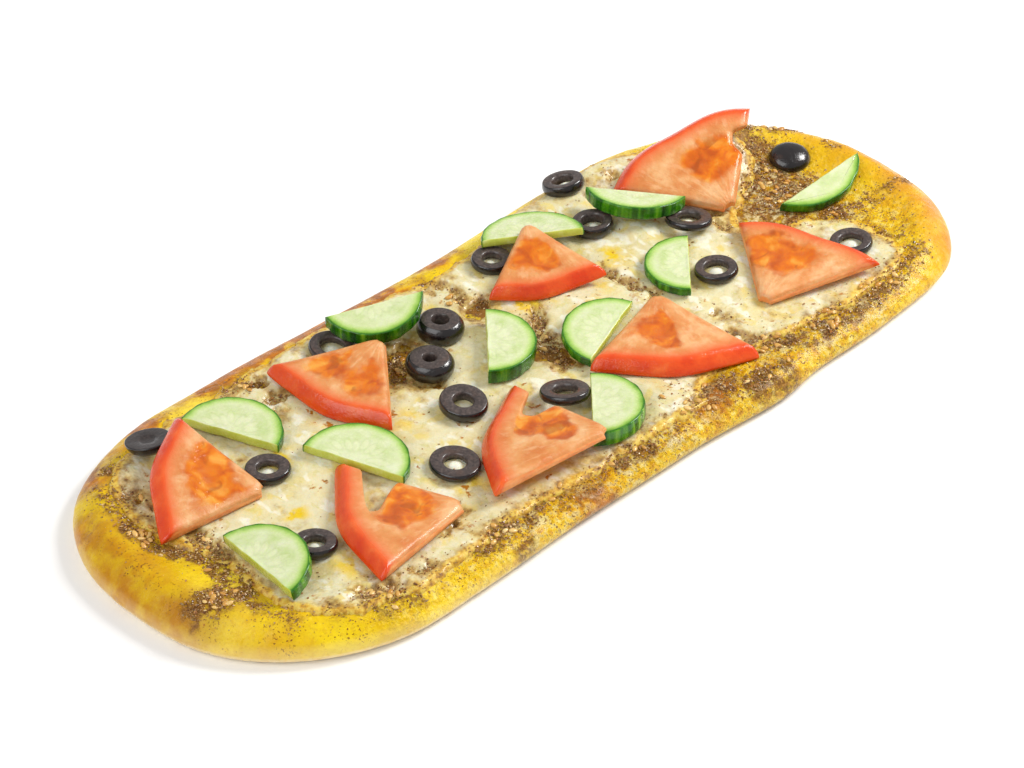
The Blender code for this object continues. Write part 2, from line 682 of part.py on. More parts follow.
def fuse_seeds(bread, places):
    """Joins the seeds to the bread with one union."""
    draw = random.Random(5)
    seeds = bpy.data.collections.new("seeds")
    bpy.context.scene.collection.children.link(seeds)
    heights = support_heights([tree_of(bread)], places)
    for k, (p, z) in enumerate(zip(places, heights)):
        mesh = bpy.data.meshes.new(f"seed_{k}")
        work = bmesh.new()
        bmesh.ops.create_icosphere(work, subdivisions=1, radius=0.5)
        size = [s * draw.uniform(0.85, 1.2) for s in SEED_SIZE]
        bmesh.ops.scale(work, vec=size, verts=work.verts)
        work.to_mesh(mesh)
        work.free()
        seed = bpy.data.objects.new(f"seed_{k}", mesh)
        seeds.objects.link(seed)
        seed.rotation_euler = (draw.uniform(-0.3, 0.3), draw.uniform(-0.3, 0.3), draw.uniform(0, math.pi))
        seed.location = (p[0], p[1], z + 0.15 * MM)
    union = bread.modifiers.new("seeds", "BOOLEAN")
    union.operation = "UNION"
    union.operand_type = "COLLECTION"
    union.collection = seeds
    union.solver = "EXACT"
    bpy.context.view_layer.update()
    graph = bpy.context.evaluated_depsgraph_get()
    joined = bpy.data.meshes.new_from_object(bread.evaluated_get(graph))
    bread.modifiers.clear()
    bread.data = joined
    for seed in list(seeds.objects):
        bpy.data.objects.remove(seed)
    bpy.data.collections.remove(seeds)


def main():
    for old in list(bpy.data.objects):
        bpy.data.objects.remove(old)
    bread, cheese = build_bread_and_cheese()
    trees = lay_toppings(bread, cheese)
    fuse_seeds(bread, seed_places(trees))
    middle = (BREAD_EDGE.max(0) + BREAD_EDGE.min(0)) / 2
    for made in bpy.data.objects:
        made.location -= Vector((*middle, 0))


main()
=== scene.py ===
"""Looks of the zaatar flatbread: bread, cheese, zaatar, sesame and the sliced vegetables on it.

Plan layouts are in millimetres and degrees, as the solids were, and moved by MIDDLE at the end.
"""

import math
import random

import bmesh
import bpy
import numpy as np
from mathutils import Matrix, Vector, noise
from mathutils.bvhtree import BVHTree


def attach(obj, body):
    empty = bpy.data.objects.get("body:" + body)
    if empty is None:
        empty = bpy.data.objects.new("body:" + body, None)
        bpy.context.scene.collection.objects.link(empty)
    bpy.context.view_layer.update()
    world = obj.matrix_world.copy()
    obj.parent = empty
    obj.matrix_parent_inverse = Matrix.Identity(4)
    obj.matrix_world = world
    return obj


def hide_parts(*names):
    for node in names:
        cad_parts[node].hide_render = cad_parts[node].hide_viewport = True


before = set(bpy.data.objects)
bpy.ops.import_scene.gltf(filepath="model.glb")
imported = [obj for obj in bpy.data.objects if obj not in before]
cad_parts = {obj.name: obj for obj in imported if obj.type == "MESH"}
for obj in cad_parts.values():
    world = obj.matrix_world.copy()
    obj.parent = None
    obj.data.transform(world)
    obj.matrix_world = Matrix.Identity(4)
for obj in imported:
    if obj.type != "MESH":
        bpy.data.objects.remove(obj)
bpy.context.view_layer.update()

MM = 0.001
UP = Vector((0, 0, 1))

BREAD_OUTLINE_MM = [
    (185, 0), (176, 33), (158, 54), (120, 72), (86, 75), (55, 74), (22, 72), (-3, 72), (-43, 73),
    (-89, 74), (-128, 72), (-161, 57), (-178, 31), (-181, 0), (-174, -31), (-153, -55), (-122, -69),
    (-85, -70), (-41, -68), (-3, -68), (24, -68), (59, -70), (82, -67), (118, -66), (159, -59),
    (181, -33),
]
RIM_COLUMNS = 144
EDGE_HEIGHT = 4.2 * MM
SHOULDER_WIDTH = 9 * MM
CRUMB_HEIGHT = 7.9 * MM
RIM_RISE = 1.7 * MM
RIM_INSET = 11 * MM
RIM_SPREAD = 8 * MM
# The rim rises more towards the ends of the bread
RIM_ENDS_FROM = 110 * MM
RIM_ENDS_OVER = 50 * MM
BREAD_RELIEF = 0.55 * MM
BREAD_RELIEF_SCALE = 17 * MM
CRINKLE_RELIEF = 0.16 * MM
CRINKLE_SCALE = 3.1 * MM
CHEESE_LEAST_MARGIN = 4.2 * MM

# Swollen places in the dough: x, y, rise, radius
PUFFS_MM = [
    (-163, 22, 2.2, 24), (-158, -22, 2.8, 26), (-128, -56, 2.2, 24), (-80, -60, 1.0, 22),
    (138, 42, 13.5, 16), (131, 1, 2.2, 14), (168, 12, 2.6, 22), (160, -38, 2.0, 24),
    (60, -62, 1.4, 20), (100, 63, 1.6, 18), (-60, 62, 0.8, 22), (10, -61, 0.8, 18),
]

CHEESE_OUTLINE_MM = [
    (-150, 52), (-157, 31), (-154, 11), (-149, -4), (-148, -32), (-141, -52), (-117, -61),
    (-93, -61), (-63, -58), (-40, -58), (-2, -59), (29, -58), (38, -50), (69, -49), (100, -54),
    (138, -52), (148, -37), (142, -14), (117, -4), (115, 10), (143, 26), (134, 50), (98, 70),
    (56, 69), (23, 60), (3, 60), (-34, 64), (-83, 63), (-127, 60),
]
CHEESE_THICKNESS = 2.0 * MM
CHEESE_EDGE_THICKNESS = 0.45 * MM
CHEESE_TAPER = 7 * MM
CHEESE_RELIEF = 0.7 * MM
CHEESE_RELIEF_SCALE = 13 * MM
CHEESE_COLUMNS = 112
RAGGED = 2.2 * MM
# How far the sheet is sunk in the bread, and how far its edge dips before it ends
CHEESE_SUNK = 1.4 * MM
CHEESE_DIP = 0.9 * MM
# Gaps in the cheese where the zaatar shows: x, y, length, width, heading
CHEESE_HOLES_MM = [(-35, 34, 22, 12, 35), (10, -1, 18, 11, -50), (8, 36, 12, 8, 20)]
# Lumps where the cheese has gathered: x, y, rise, radius
CHEESE_LUMPS_MM = [
    (-32, 40, 2.8, 7), (84, 31, 3.0, 8), (-30, 2, 1.2, 9), (40, 8, 1.2, 14), (-90, 15, 1.0, 14),
    (100, -15, 1.2, 13), (-128, 10, 0.8, 12), (-60, 0, 0.9, 12), (20, -40, 1.0, 12),
]
HOLE_STEPS = 36
# How far the cheese's top stands over the bread, apart from its own depth
GAP = 0.35 * MM

# Tomato wedges: name, core x and y, heading of the skin, sweep, radius, thickness,
# depth of the pocket that the cut laid open
TOMATOES = [
    ("tomato_1", -114.7, 8.7, 137, 76, 44.3, 5.2, 0),
    ("tomato_2", -35.5, 38.2, -167, 77, 43.5, 5.5, 0),
    ("tomato_3", -69, -43, 153, 77, 50, 5.0, 0.45),
    ("tomato_4", 45.8, 51, -118, 71, 38.2, 4.6, 0),
    ("tomato_5", -13.5, -56.5, 132, 77, 50, 5.0, 0.24),
    ("tomato_6", 58.5, -4.7, -124.5, 75, 50.3, 5.5, 0),
    ("tomato_7", 115.8, 11.5, 80, 86, 47.5, 5.5, 0.1),
    ("tomato_8", 83, -35, 17.5, 73, 48, 5.0, 0),
]
# Seed pockets, across the wedge from -1 to 1 and out from the core from 0 to 1: place, then spread
POCKETS = {
    "tomato_1": [(-0.50, 0.56, 0.40, 0.17), (0.30, 0.46, 0.40, 0.17)],
    "tomato_2": [(-0.45, 0.60, 0.30, 0.18), (0.50, 0.58, 0.32, 0.20)],
    "tomato_3": [(-0.45, 0.52, 0.36, 0.16), (0.10, 0.42, 0.42, 0.13)],
    "tomato_4": [(-0.35, 0.48, 0.42, 0.20), (0.22, 0.56, 0.26, 0.16)],
    "tomato_5": [(-0.50, 0.60, 0.34, 0.14), (0.10, 0.38, 0.34, 0.10)],
    "tomato_6": [(-0.35, 0.50, 0.32, 0.14), (-0.05, 0.58, 0.16, 0.20)],
    "tomato_7": [(-0.30, 0.52, 0.42, 0.17), (-0.80, 0.56, 0.20, 0.10)],
    "tomato_8": [(0.62, 0.62, 0.30, 0.18), (-0.12, 0.60, 0.34, 0.18)],
}
# How far the skin leans out at the bottom, how flat its arc is, and where the core is cut off
SKIN_LEAN = 3.2 * MM
SKIN_FLATNESS = 0.09
CORE_CUT = 0.07
CORE_THICKNESS = 0.7
CUT_EDGE_DROOP = 0.35
POCKET_DEPTH = 1.2 * MM
# Where along the wedge a pocket is laid open, and over what length
MOUTH_AT = 0.68
MOUTH_SPREAD = 0.11
WEDGE_STEPS_OUT = 44
WEDGE_STEPS_ACROSS = 72
WEDGE_STEPS_DOWN = 9

# Cucumber slices: name, middle of the straight cut x and y, heading of the rind, radius, thickness,
# share of half a disc
CUCUMBERS = [
    ("cucumber_1", -106, 39.7, 24, 18.8, 3.9, 0.99),
    ("cucumber_2", -84.8, -1.4, 22.5, 19.5, 3.7, 1.02),
    ("cucumber_3", -143.5, -21, -3, 19.3, 4.8, 0.92),
    ("cucumber_4", -28, 52, -114, 19, 6.0, 0.76),
    ("cucumber_5", -8, 14, -41, 17.8, 6.0, 1.0),
    ("cucumber_6", 30.3, -10.7, 111, 18, 3.6, 1.0),
    ("cucumber_7", -5.1, -37.6, -42, 17.6, 6.0, 1.06),
    ("cucumber_8", 44.5, 45.5, 57, 19.3, 3.2, 0.98),
    ("cucumber_9", 90, 38, -140, 20, 5.0, 0.68),
    ("cucumber_10", 79.5, -1.4, 137, 16.4, 3.4, 1.02),
    ("cucumber_11", 151, 0.7, -89.5, 26, 4.0, 0.42),
]
# Steps along the rind, along the straight cut, and from the edge to the middle
SLICE_STEPS = (84, 40, 26)
SEEDS_IN_SLICE = 9

# Olive slices: name, x, y, outer radius, height, hole radius. The lean is read from the solids.
# Without a hole it is an end of the olive, domed side up, and below zero it lies cut side up.
OLIVES = [
    ("olive_1", -132, 51.5, 7.8, 5.0, -1),
    ("olive_2", -107.5, 17.5, 7.9, 3.0, 3.8),
    ("olive_3", -121, -23.2, 7.6, 3.4, 3.6),
    ("olive_4", -48.5, 52, 8.4, 3.0, 4.3),
    ("olive_5", -12.5, 34, 8.6, 6.5, 3.0),
    ("olive_6", -29, 21, 8.7, 6.0, 2.4),
    ("olive_7", -35, -3, 8.6, 4.0, 3.6),
    ("olive_8", -58, -24, 9.1, 2.8, 4.2),
    ("olive_9", -6, -24.7, 9.0, 3.2, 4.4),
    ("olive_10", 28, 50.5, 7.5, 3.4, 3.4),
    ("olive_11", 79.5, 65.5, 7.9, 4.2, 4.0),
    ("olive_12", 70.5, 40.5, 7.7, 4.2, 4.0),
    ("olive_13", 98.5, 18, 8.8, 2.8, 4.4),
    ("olive_14", 85, -10, 7.9, 3.2, 4.4),
    ("olive_15", 155.5, 20, 7.6, 3.9, 0),
    ("olive_16", 133, -33, 7.8, 3.2, 4.2),
]
OLIVE_STEPS = 64
OLIVE_OVAL = 0.045
OLIVE_EDGE = 0.6 * MM
# Rings taller than this come from near an end and are drawn in at the top
END_PIECE_HEIGHT = 5.5 * MM
END_PIECE_TAPER = 1.2 * MM

# Melted cheese standing in the holes of olives: number of the olive, rise, radius
HOLE_PLUGS = [
    (2, 1.6, 2.7), (3, 1.8, 2.5), (4, 1.8, 3.0), (5, 4.0, 1.9), (8, 1.8, 3.0), (9, 2.6, 2.8),
    (10, 1.6, 2.4), (11, 1.8, 2.8), (12, 2.4, 2.8), (13, 2.6, 2.9), (14, 2.0, 3.0), (16, 2.0, 2.9),
]

# Where the zaatar lies thick: from x, y to x, y, width, strength
ZAATAR_MM = [
    (-169, -21, -160, -22, 5, 2.4), (-160, -22, -150, -23, 4, 2.2), (-151, -1, -152, -11, 4, 0.9),
    (-152, -11, -154, -19, 4, 0.9), (-161, 28, -161, 16, 4, 1), (-161, 16, -156, 8, 4, 1),
    (-156, 8, -152, 1, 4, 1), (-158, 44, -159, 30, 5, 0.6), (-150, 54, -150, 34, 8, 0.8),
    (-145, 12, -146, -1, 6, 1.2), (-146, -1, -148, -16, 5, 1), (-156, -30, -150, -45, 5, 0.5),
    (-134, -50, -123, -55, 6, 0.9), (-123, -55, -111, -56, 6, 1), (-111, -56, -100, -55, 5, 0.8),
    (-123, -61, -109, -63, 5, 0.6), (-82, -47, -72, -43, 4, 0.8), (-78, -59, -65, -59, 6, 0.9),
    (-67, -68, -47, -55, 4, 0.7), (-42, -60, -24, -61, 5, 0.4), (-14, -58, -1, -61, 4, 1.1),
    (-7, -56, 4, -52, 5, 0.4), (-1, -62, 27, -59, 7, 0.4), (30, -54, 47, -57, 6, 0.9),
    (50, -63, 64, -65, 5, 1.2), (65, -39, 71, -51, 5, 1.1), (71, -51, 86, -58, 5, 1.1),
    (86, -58, 106, -58, 6, 1), (106, -58, 129, -57, 6, 0.6), (128, -56, 150, -52, 6, 0.5),
    (68, -19, 72, -35, 4, 0.7), (57, 21, 59, -2, 5, 0.8), (16, 12, 12, -7, 7, 1.1),
    (23, 22, 18, 11, 4, 0.8), (2, 58, 10, 38, 5, 0.9), (-30, 44, -33, 19, 9, 1.1),
    (-44, 26, -32, 10, 3, 0.7), (-89, 61, -77, 57, 4, 1), (-80, 48, -67, 46, 4, 1),
    (-83, 42, -80, 41, 2.5, 0.8), (90, 62, 111, 51, 4, 0.7), (73, 61, 84, 56, 4, 0.4),
    (152, 43, 171, 34, 5, 0.8), (145, 34, 142, 2, 12, 0.9), (130, 22, 132, -2, 9, 0.9),
    (110, 16, 112, 2, 5, 0.9), (137, -4, 148, -16, 6, 0.9), (149, -15, 178, -19, 4, 0.5),
    (172, 16, 172, 12, 2, 0.8), (147, -25, 151, -41, 6, 0.5),
]
# Clusters of sesame: x, y, spread, count
SESAME_MM = [
    (-159, 20, 3.2, 14), (-163, -24, 4.3, 9), (4, 45, 2.9, 6), (-33, 31, 4.6, 9), (96, -58, 5, 16),
    (73, -51, 5, 8), (165, 36, 2.9, 5), (141, 16, 5.7, 12), (-3, -62, 2.9, 4), (-70, -59, 5.7, 10),
    (-119, -56, 6.4, 12), (23, -60, 10.7, 12), (-42, -60, 5, 5), (132, -52, 7.1, 8),
    (-84, 59, 2.9, 5),
]
# Toasted places and evenly tanned ones on the dough: x, y, strength, radius
TOASTED_MM = [
    (-36, -67, 0.9, 9), (-22, -67, 0.6, 10), (38, -55, 0.9, 9), (30, -58, 0.7, 10),
    (62, -64, 0.5, 12), (-37, 71, 1.4, 13), (-12, 71, 1.4, 14), (-62, 73, 1.4, 14),
    (-90, 74, 1.2, 14), (18, 73, 1.2, 12), (-125, 72, 1.2, 13), (-152, 62, 1.1, 11),
    (-174, 40, 0.6, 11), (-184, 8, 0.4, 9), (92, 74, 0.6, 12), (176, 20, 0.35, 14),
    (120, -62, 0.25, 10), (-96, -66, 0.3, 10), (-150, -40, 0.25, 10),
]
TANNED_MM = [
    (176, -30, 1.0, 18), (184, 0, 1.0, 16), (165, -54, 0.9, 14), (176, 30, 0.8, 14),
    (140, -66, 0.5, 12), (-160, -52, 0.4, 12),
]
# Deep amber places, crinkled oily ones and brown soaked ones on the dough: x, y, strength, radius
AMBER_MM = [
    (-176, -18, 0.9, 13), (-178, 6, 1.0, 16), (-160, -44, 0.25, 12), (-34, 34, 1.0, 16),
    (10, 0, 0.7, 12), (-172, 30, 0.8, 16), (30, -62, 0.5, 12), (104, 0, 0.7, 10), (144, 0, 0.6, 12),
]
ROUGH_MM = [
    (-110, -58, 0.6, 16), (-80, -58, 0.9, 16), (-55, -62, 1.0, 16), (-30, -61, 1.0, 16),
    (-5, -60, 1.0, 16), (20, -60, 1.0, 16), (45, -60, 1.0, 18), (70, -58, 1.0, 18),
    (95, -60, 1.0, 16), (118, -58, 0.9, 16), (138, -54, 0.8, 14), (142, 16, 0.9, 18),
    (150, -12, 0.8, 14), (154, -32, 0.7, 12), (-34, 34, 1.0, 14),
]
BROWN_MM = [
    (-34, 34, 1.1, 14), (10, -1, 1.0, 12), (8, 37, 1.0, 10), (132, 14, 1.1, 18), (118, 2, 0.9, 11),
    (146, 0, 0.8, 11), (142, 28, 0.9, 12), (-158, -22, 0.7, 8), (-150, 6, 0.6, 7),
    (52, -63, 0.6, 6), (80, -56, 0.5, 8), (100, -59, 0.5, 8),
]
# Flecks of cheese strewn over bread and zaatar: x, y, strength, radius
FLECK_MM = [
    (134, 26, 1.0, 12), (140, 10, 1.0, 12), (120, 6, 0.8, 10), (128, -2, 0.8, 9),
    (150, -14, 0.6, 8), (-60, -60, 0.8, 9), (-40, -62, 0.7, 9), (-15, -61, 0.8, 9),
    (10, -60, 0.8, 9), (34, -54, 0.7, 8), (70, -54, 0.8, 8), (90, -57, 0.8, 8), (112, -58, 0.7, 8),
    (-92, -61, 0.5, 7), (-34, 34, 0.6, 9),
]
# Pools of yellow oil on the cheese: x, y, strength, radius
OIL_MM = [
    (-114, -4, 1.0, 5), (-87, 0, 0.7, 7), (-122, 15, 0.6, 6), (-52, 6, 0.6, 7), (-100, 22, 0.8, 8),
    (-64, 18, 0.5, 8), (-60, -34, 0.7, 8), (-84, -38, 0.6, 7), (22, 26, 0.8, 9), (64, 24, 0.8, 8),
    (50, 14, 0.5, 7), (-20, -14, 0.6, 7), (0, 4, 0.6, 6), (100, -4, 0.5, 7), (-8, 46, 0.7, 6),
    (-118, -38, 0.7, 8), (80, 52, 0.5, 8), (34, 34, 0.5, 6),
]

# The side of the bread from its foot up: inset and height in millimetres, paleness
BREAD_SIDE = [
    (4.0, 0.0, 1.0), (2.5, 0.35, 1.0), (1.35, 1.1, 1.0), (0.55, 2.1, 0.9), (0.12, 3.1, 0.65),
    (0.0, 4.0, 0.3),
]
# The line inside the bread that the rings of its mesh close in on
SPINE_HALF_LENGTH = 113 * MM
SPINE_Y = 2 * MM
SPINE_HALF_WIDTH = 0.3 * MM
SPINE_AWAY = 72 * MM

BREAD_COLUMNS = 720
BREAD_RINGS = 60
CHEESE_CELL = 1.15 * MM
# Loose pieces: places tried, how many at most, and how far they keep from the bread's edge
GRAIN_TRIES = 150000
GRAIN_LIMIT = 24000
GRAIN_INSET = 4 * MM
SESAME_TRIES = 5000
SESAME_LIMIT = 40
SESAME_INSET = 6 * MM
# Half the length, width and thickness of a seed
SESAME_SIZE = (1.5 * MM, 0.95 * MM, 0.55 * MM)
SEED_TAPER = 0.42
# Steps around a seed and from end to end
SEED_STEPS = (10, 7)
SMEAR_SPREAD = 1.9
# Height from which the toppings are looked for, over all of them
SKY = 0.2

FLOOR_REACH = 6
FLOOR_HEIGHT = -0.2 * MM
WORLD_STRENGTH = 0.5
# The photograph's view
CAMERA_HEADING = 43
CAMERA_ELEVATION = 40
CAMERA_DISTANCE = 1.3
CAMERA_LENS = 126.95
CAMERA_TARGET = (-0.00651, 0.00221, 0)


# Plan curves and heights, as in the solids

def smooth_loop(points, count):
    """Evenly spaced points on a closed Catmull-Rom curve through the given ones."""
    p = np.array(points, float)
    before, after, next_after = np.roll(p, 1, 0), np.roll(p, -1, 0), np.roll(p, -2, 0)
    dense = []
    for t in np.linspace(0, 1, 24, endpoint=False):
        dense.append(0.5 * (
            2 * p + (after - before) * t
            + (2 * before - 5 * p + 4 * after - next_after) * t ** 2
            + (3 * p - before - 3 * after + next_after) * t ** 3
        ))
    dense = np.stack(dense, axis=1).reshape(-1, 2)
    return resampled(dense, count)


def resampled(loop, count):
    closed = np.vstack([loop, loop[:1]])
    along = np.concatenate([[0], np.cumsum(np.linalg.norm(np.diff(closed, axis=0), axis=1))])
    at = np.linspace(0, along[-1], count, endpoint=False)
    return np.stack([np.interp(at, along, closed[:, k]) for k in (0, 1)], axis=1)


def outward(loop):
    tangent = np.roll(loop, -1, 0) - np.roll(loop, 1, 0)
    tangent /= np.linalg.norm(tangent, axis=1)[:, None]
    return np.stack([tangent[:, 1], -tangent[:, 0]], axis=1)


def distance_to_path(points, starts, ends):
    nearest = np.full(len(points), np.inf)
    for a, b in zip(starts, ends):
        s = b - a
        t = np.clip(((points - a) @ s) / max((s ** 2).sum(), 1e-12), 0, 1)
        nearest = np.minimum(nearest, np.linalg.norm(points - a - t[:, None] * s, axis=1))
    return nearest


def distance_to(loop, points):
    return distance_to_path(points, loop, np.roll(loop, -1, 0))


def inside(loop, points):
    x, y = points[:, 0], points[:, 1]
    crossings = np.zeros(len(points), int)
    for (x0, y0), (x1, y1) in zip(loop, np.roll(loop, -1, 0)):
        if y0 == y1:
            continue
        between = (y0 > y) != (y1 > y)
        crossings += between & (x < (x1 - x0) * (y - y0) / (y1 - y0) + x0)
    return crossings % 2 == 1


def bumps(points, places_mm):
    total = np.zeros(len(points))
    for x, y, rise, radius in places_mm:
        away = np.linalg.norm(points - np.array([x, y]) * MM, axis=1) / (radius * MM)
        total += rise * np.exp(-away ** 2)
    return total


def ripple(points, scale, seed):
    return np.array([noise.noise(Vector((x / scale, y / scale, seed))) for x, y in points])


def smoothstep(low, high, value):
    t = np.clip((value - low) / (high - low), 0, 1)
    return t * t * (3 - 2 * t)


BREAD_EDGE = smooth_loop(np.array(BREAD_OUTLINE_MM) * MM, RIM_COLUMNS)
MIDDLE = (BREAD_EDGE.max(0) + BREAD_EDGE.min(0)) / 2


def cheese_edge():
    base = smooth_loop(np.array(CHEESE_OUTLINE_MM) * MM, CHEESE_COLUMNS)
    base += outward(base) * (RAGGED * ripple(base, 9 * MM, 3.7))[:, None]
    for _ in range(3):
        short = CHEESE_LEAST_MARGIN - distance_to(BREAD_EDGE, base)
        short[~inside(BREAD_EDGE, base)] += 2 * CHEESE_LEAST_MARGIN
        base -= outward(base) * np.maximum(short, 0)[:, None]
    return base


def cheese_holes():
    holes = []
    for x, y, length, width, heading in CHEESE_HOLES_MM:
        turn = math.radians(heading)
        along = np.array([math.cos(turn), math.sin(turn)])
        across = np.array([-along[1], along[0]])
        ring = []
        for k in range(HOLE_STEPS):
            a = 2 * math.pi * k / HOLE_STEPS
            wobble = 1 + 0.18 * math.sin(3 * a + x)
            ring.append(np.array([x, y]) + wobble * (
                along * length / 2 * math.cos(a) + across * width / 2 * math.sin(a)))
        holes.append(np.array(ring) * MM)
    return holes


CHEESE_EDGE = cheese_edge()
CHEESE_HOLES = cheese_holes()


def zaatar_strokes(points, spread):
    """Strength of the nearest strokes of zaatar, each as wide as given times spread."""
    strongest = np.zeros(len(points))
    for x0, y0, x1, y1, width, strength in ZAATAR_MM:
        a, b = np.array([[x0, y0]]) * MM, np.array([[x1, y1]]) * MM
        away = distance_to_path(points, a, b) / (spread * width * MM)
        strongest = np.maximum(strongest, strength * np.exp(-away ** 2))
    return strongest


def zaatar_density(points):
    """How thick the zaatar lies over the plan, about 0 to 1.3, broken up by noise."""
    broken = 0.76 + 0.8 * ripple(points, 6 * MM, 2.2) + 0.6 * ripple(points, 2.6 * MM, 9.4)
    return zaatar_strokes(points, 1) * np.clip(broken, 0.12, 1.5)


def bread_top(points):
    """Height of the bread's upper side, with its fine crinkles."""
    inset = distance_to(BREAD_EDGE, points)
    ends = np.clip((abs(points[:, 0]) - RIM_ENDS_FROM) / RIM_ENDS_OVER, 0, 1)
    rim = RIM_RISE * (1 + 1.2 * ends) * np.exp(-((inset - RIM_INSET) / RIM_SPREAD) ** 2)
    crown = CRUMB_HEIGHT + rim + bumps(points, PUFFS_MM) * MM
    crown += BREAD_RELIEF * ripple(points, BREAD_RELIEF_SCALE, 0.3)
    crown += 0.4 * BREAD_RELIEF * ripple(points, BREAD_RELIEF_SCALE / 3, 5.1)
    crown += CRINKLE_RELIEF * ripple(points, CRINKLE_SCALE, 7.7)
    rounding = np.clip(1 - inset / SHOULDER_WIDTH, 0, 1)
    return EDGE_HEIGHT + (crown - EDGE_HEIGHT) * np.sqrt(1 - rounding ** 2)


def cheese_depth(points):
    """Thickness of the cheese, below zero where there is none."""
    away = distance_to(CHEESE_EDGE, points)
    away[~inside(CHEESE_EDGE, points)] *= -1
    for hole in CHEESE_HOLES:
        to_hole = distance_to(hole, points)
        to_hole[inside(hole, points)] *= -1
        away = np.minimum(away, to_hole)
    away += (1.5 * ripple(points, 5.5 * MM, 4.4) + 0.9 * ripple(points, 2.4 * MM, 6.1)) * MM
    full = CHEESE_THICKNESS + bumps(points, CHEESE_LUMPS_MM) * MM
    full += CHEESE_RELIEF * ripple(points, CHEESE_RELIEF_SCALE, 8.2)
    full += 0.28 * MM * ripple(points, 4.2 * MM, 1.9)
    plugs = [(*OLIVES[n - 1][1:3], rise, radius) for n, rise, radius in HOLE_PLUGS]
    full += bumps(points, plugs) * MM
    cover = 1.15 * zaatar_density(points) + 0.35 * ripple(points, 8 * MM, 3.3)
    bare = smoothstep(0.45, 0.95, cover)
    full -= 2.0 * MM * bare
    rise = np.sqrt(np.clip(away / CHEESE_TAPER, 0, 1))
    depth = CHEESE_EDGE_THICKNESS + (full - CHEESE_EDGE_THICKNESS) * rise
    return np.where(away > 0, depth, np.maximum(CHEESE_EDGE_THICKNESS + away, -2 * MM))


# Mesh helpers

def shift(vertices):
    """Plan coordinates moved to the part's own origin."""
    moved = np.array(vertices, float)
    moved[:, :2] -= MIDDLE
    return moved


def mesh_object(name, vertices, faces, smooth=True):
    mesh = bpy.data.meshes.new(name)
    mesh.from_pydata([tuple(v) for v in vertices], [], [tuple(int(k) for k in f) for f in faces])
    mesh.update()
    if smooth:
        mesh.shade_smooth()
    made = bpy.data.objects.new(name, mesh)
    bpy.context.scene.collection.objects.link(made)
    return made


def give(made, name, values):
    """Stores a number or a vector for each vertex, for the material to read."""
    values = np.asarray(values, np.float32)
    kind, field = ("FLOAT", "value") if values.ndim == 1 else ("FLOAT_VECTOR", "vector")
    made.data.attributes.new(name, kind, "POINT").data.foreach_set(field, values.ravel())


def turn_out(made):
    work = bmesh.new()
    work.from_mesh(made.data)
    bmesh.ops.triangulate(work, faces=[f for f in work.faces if len(f.verts) > 4])
    bmesh.ops.recalc_face_normals(work, faces=work.faces)
    work.to_mesh(made.data)
    work.free()


def join(vertices, faces, body, body_faces):
    """Adds a small body to the lists of a joined mesh."""
    first = len(vertices)
    vertices.extend(map(tuple, body))
    faces.extend(tuple(first + k for k in f) for f in body_faces)


def bands(rings, closed=True):
    faces = []
    for low, high in zip(rings, rings[1:]):
        last = len(low) if closed else len(low) - 1
        for k in range(last):
            j = (k + 1) % len(low)
            faces.append((low[k], low[j], high[j], high[k]))
    return faces


# Materials

def tint(r, g, b):
    """A colour as seen on screen, 0 to 255, as the linear values that shaders take."""
    values = [c / 255 for c in (r, g, b)]
    linear = [c / 12.92 if c <= 0.04045 else ((c + 0.055) / 1.055) ** 2.4 for c in values]
    return (*linear, 1.0)


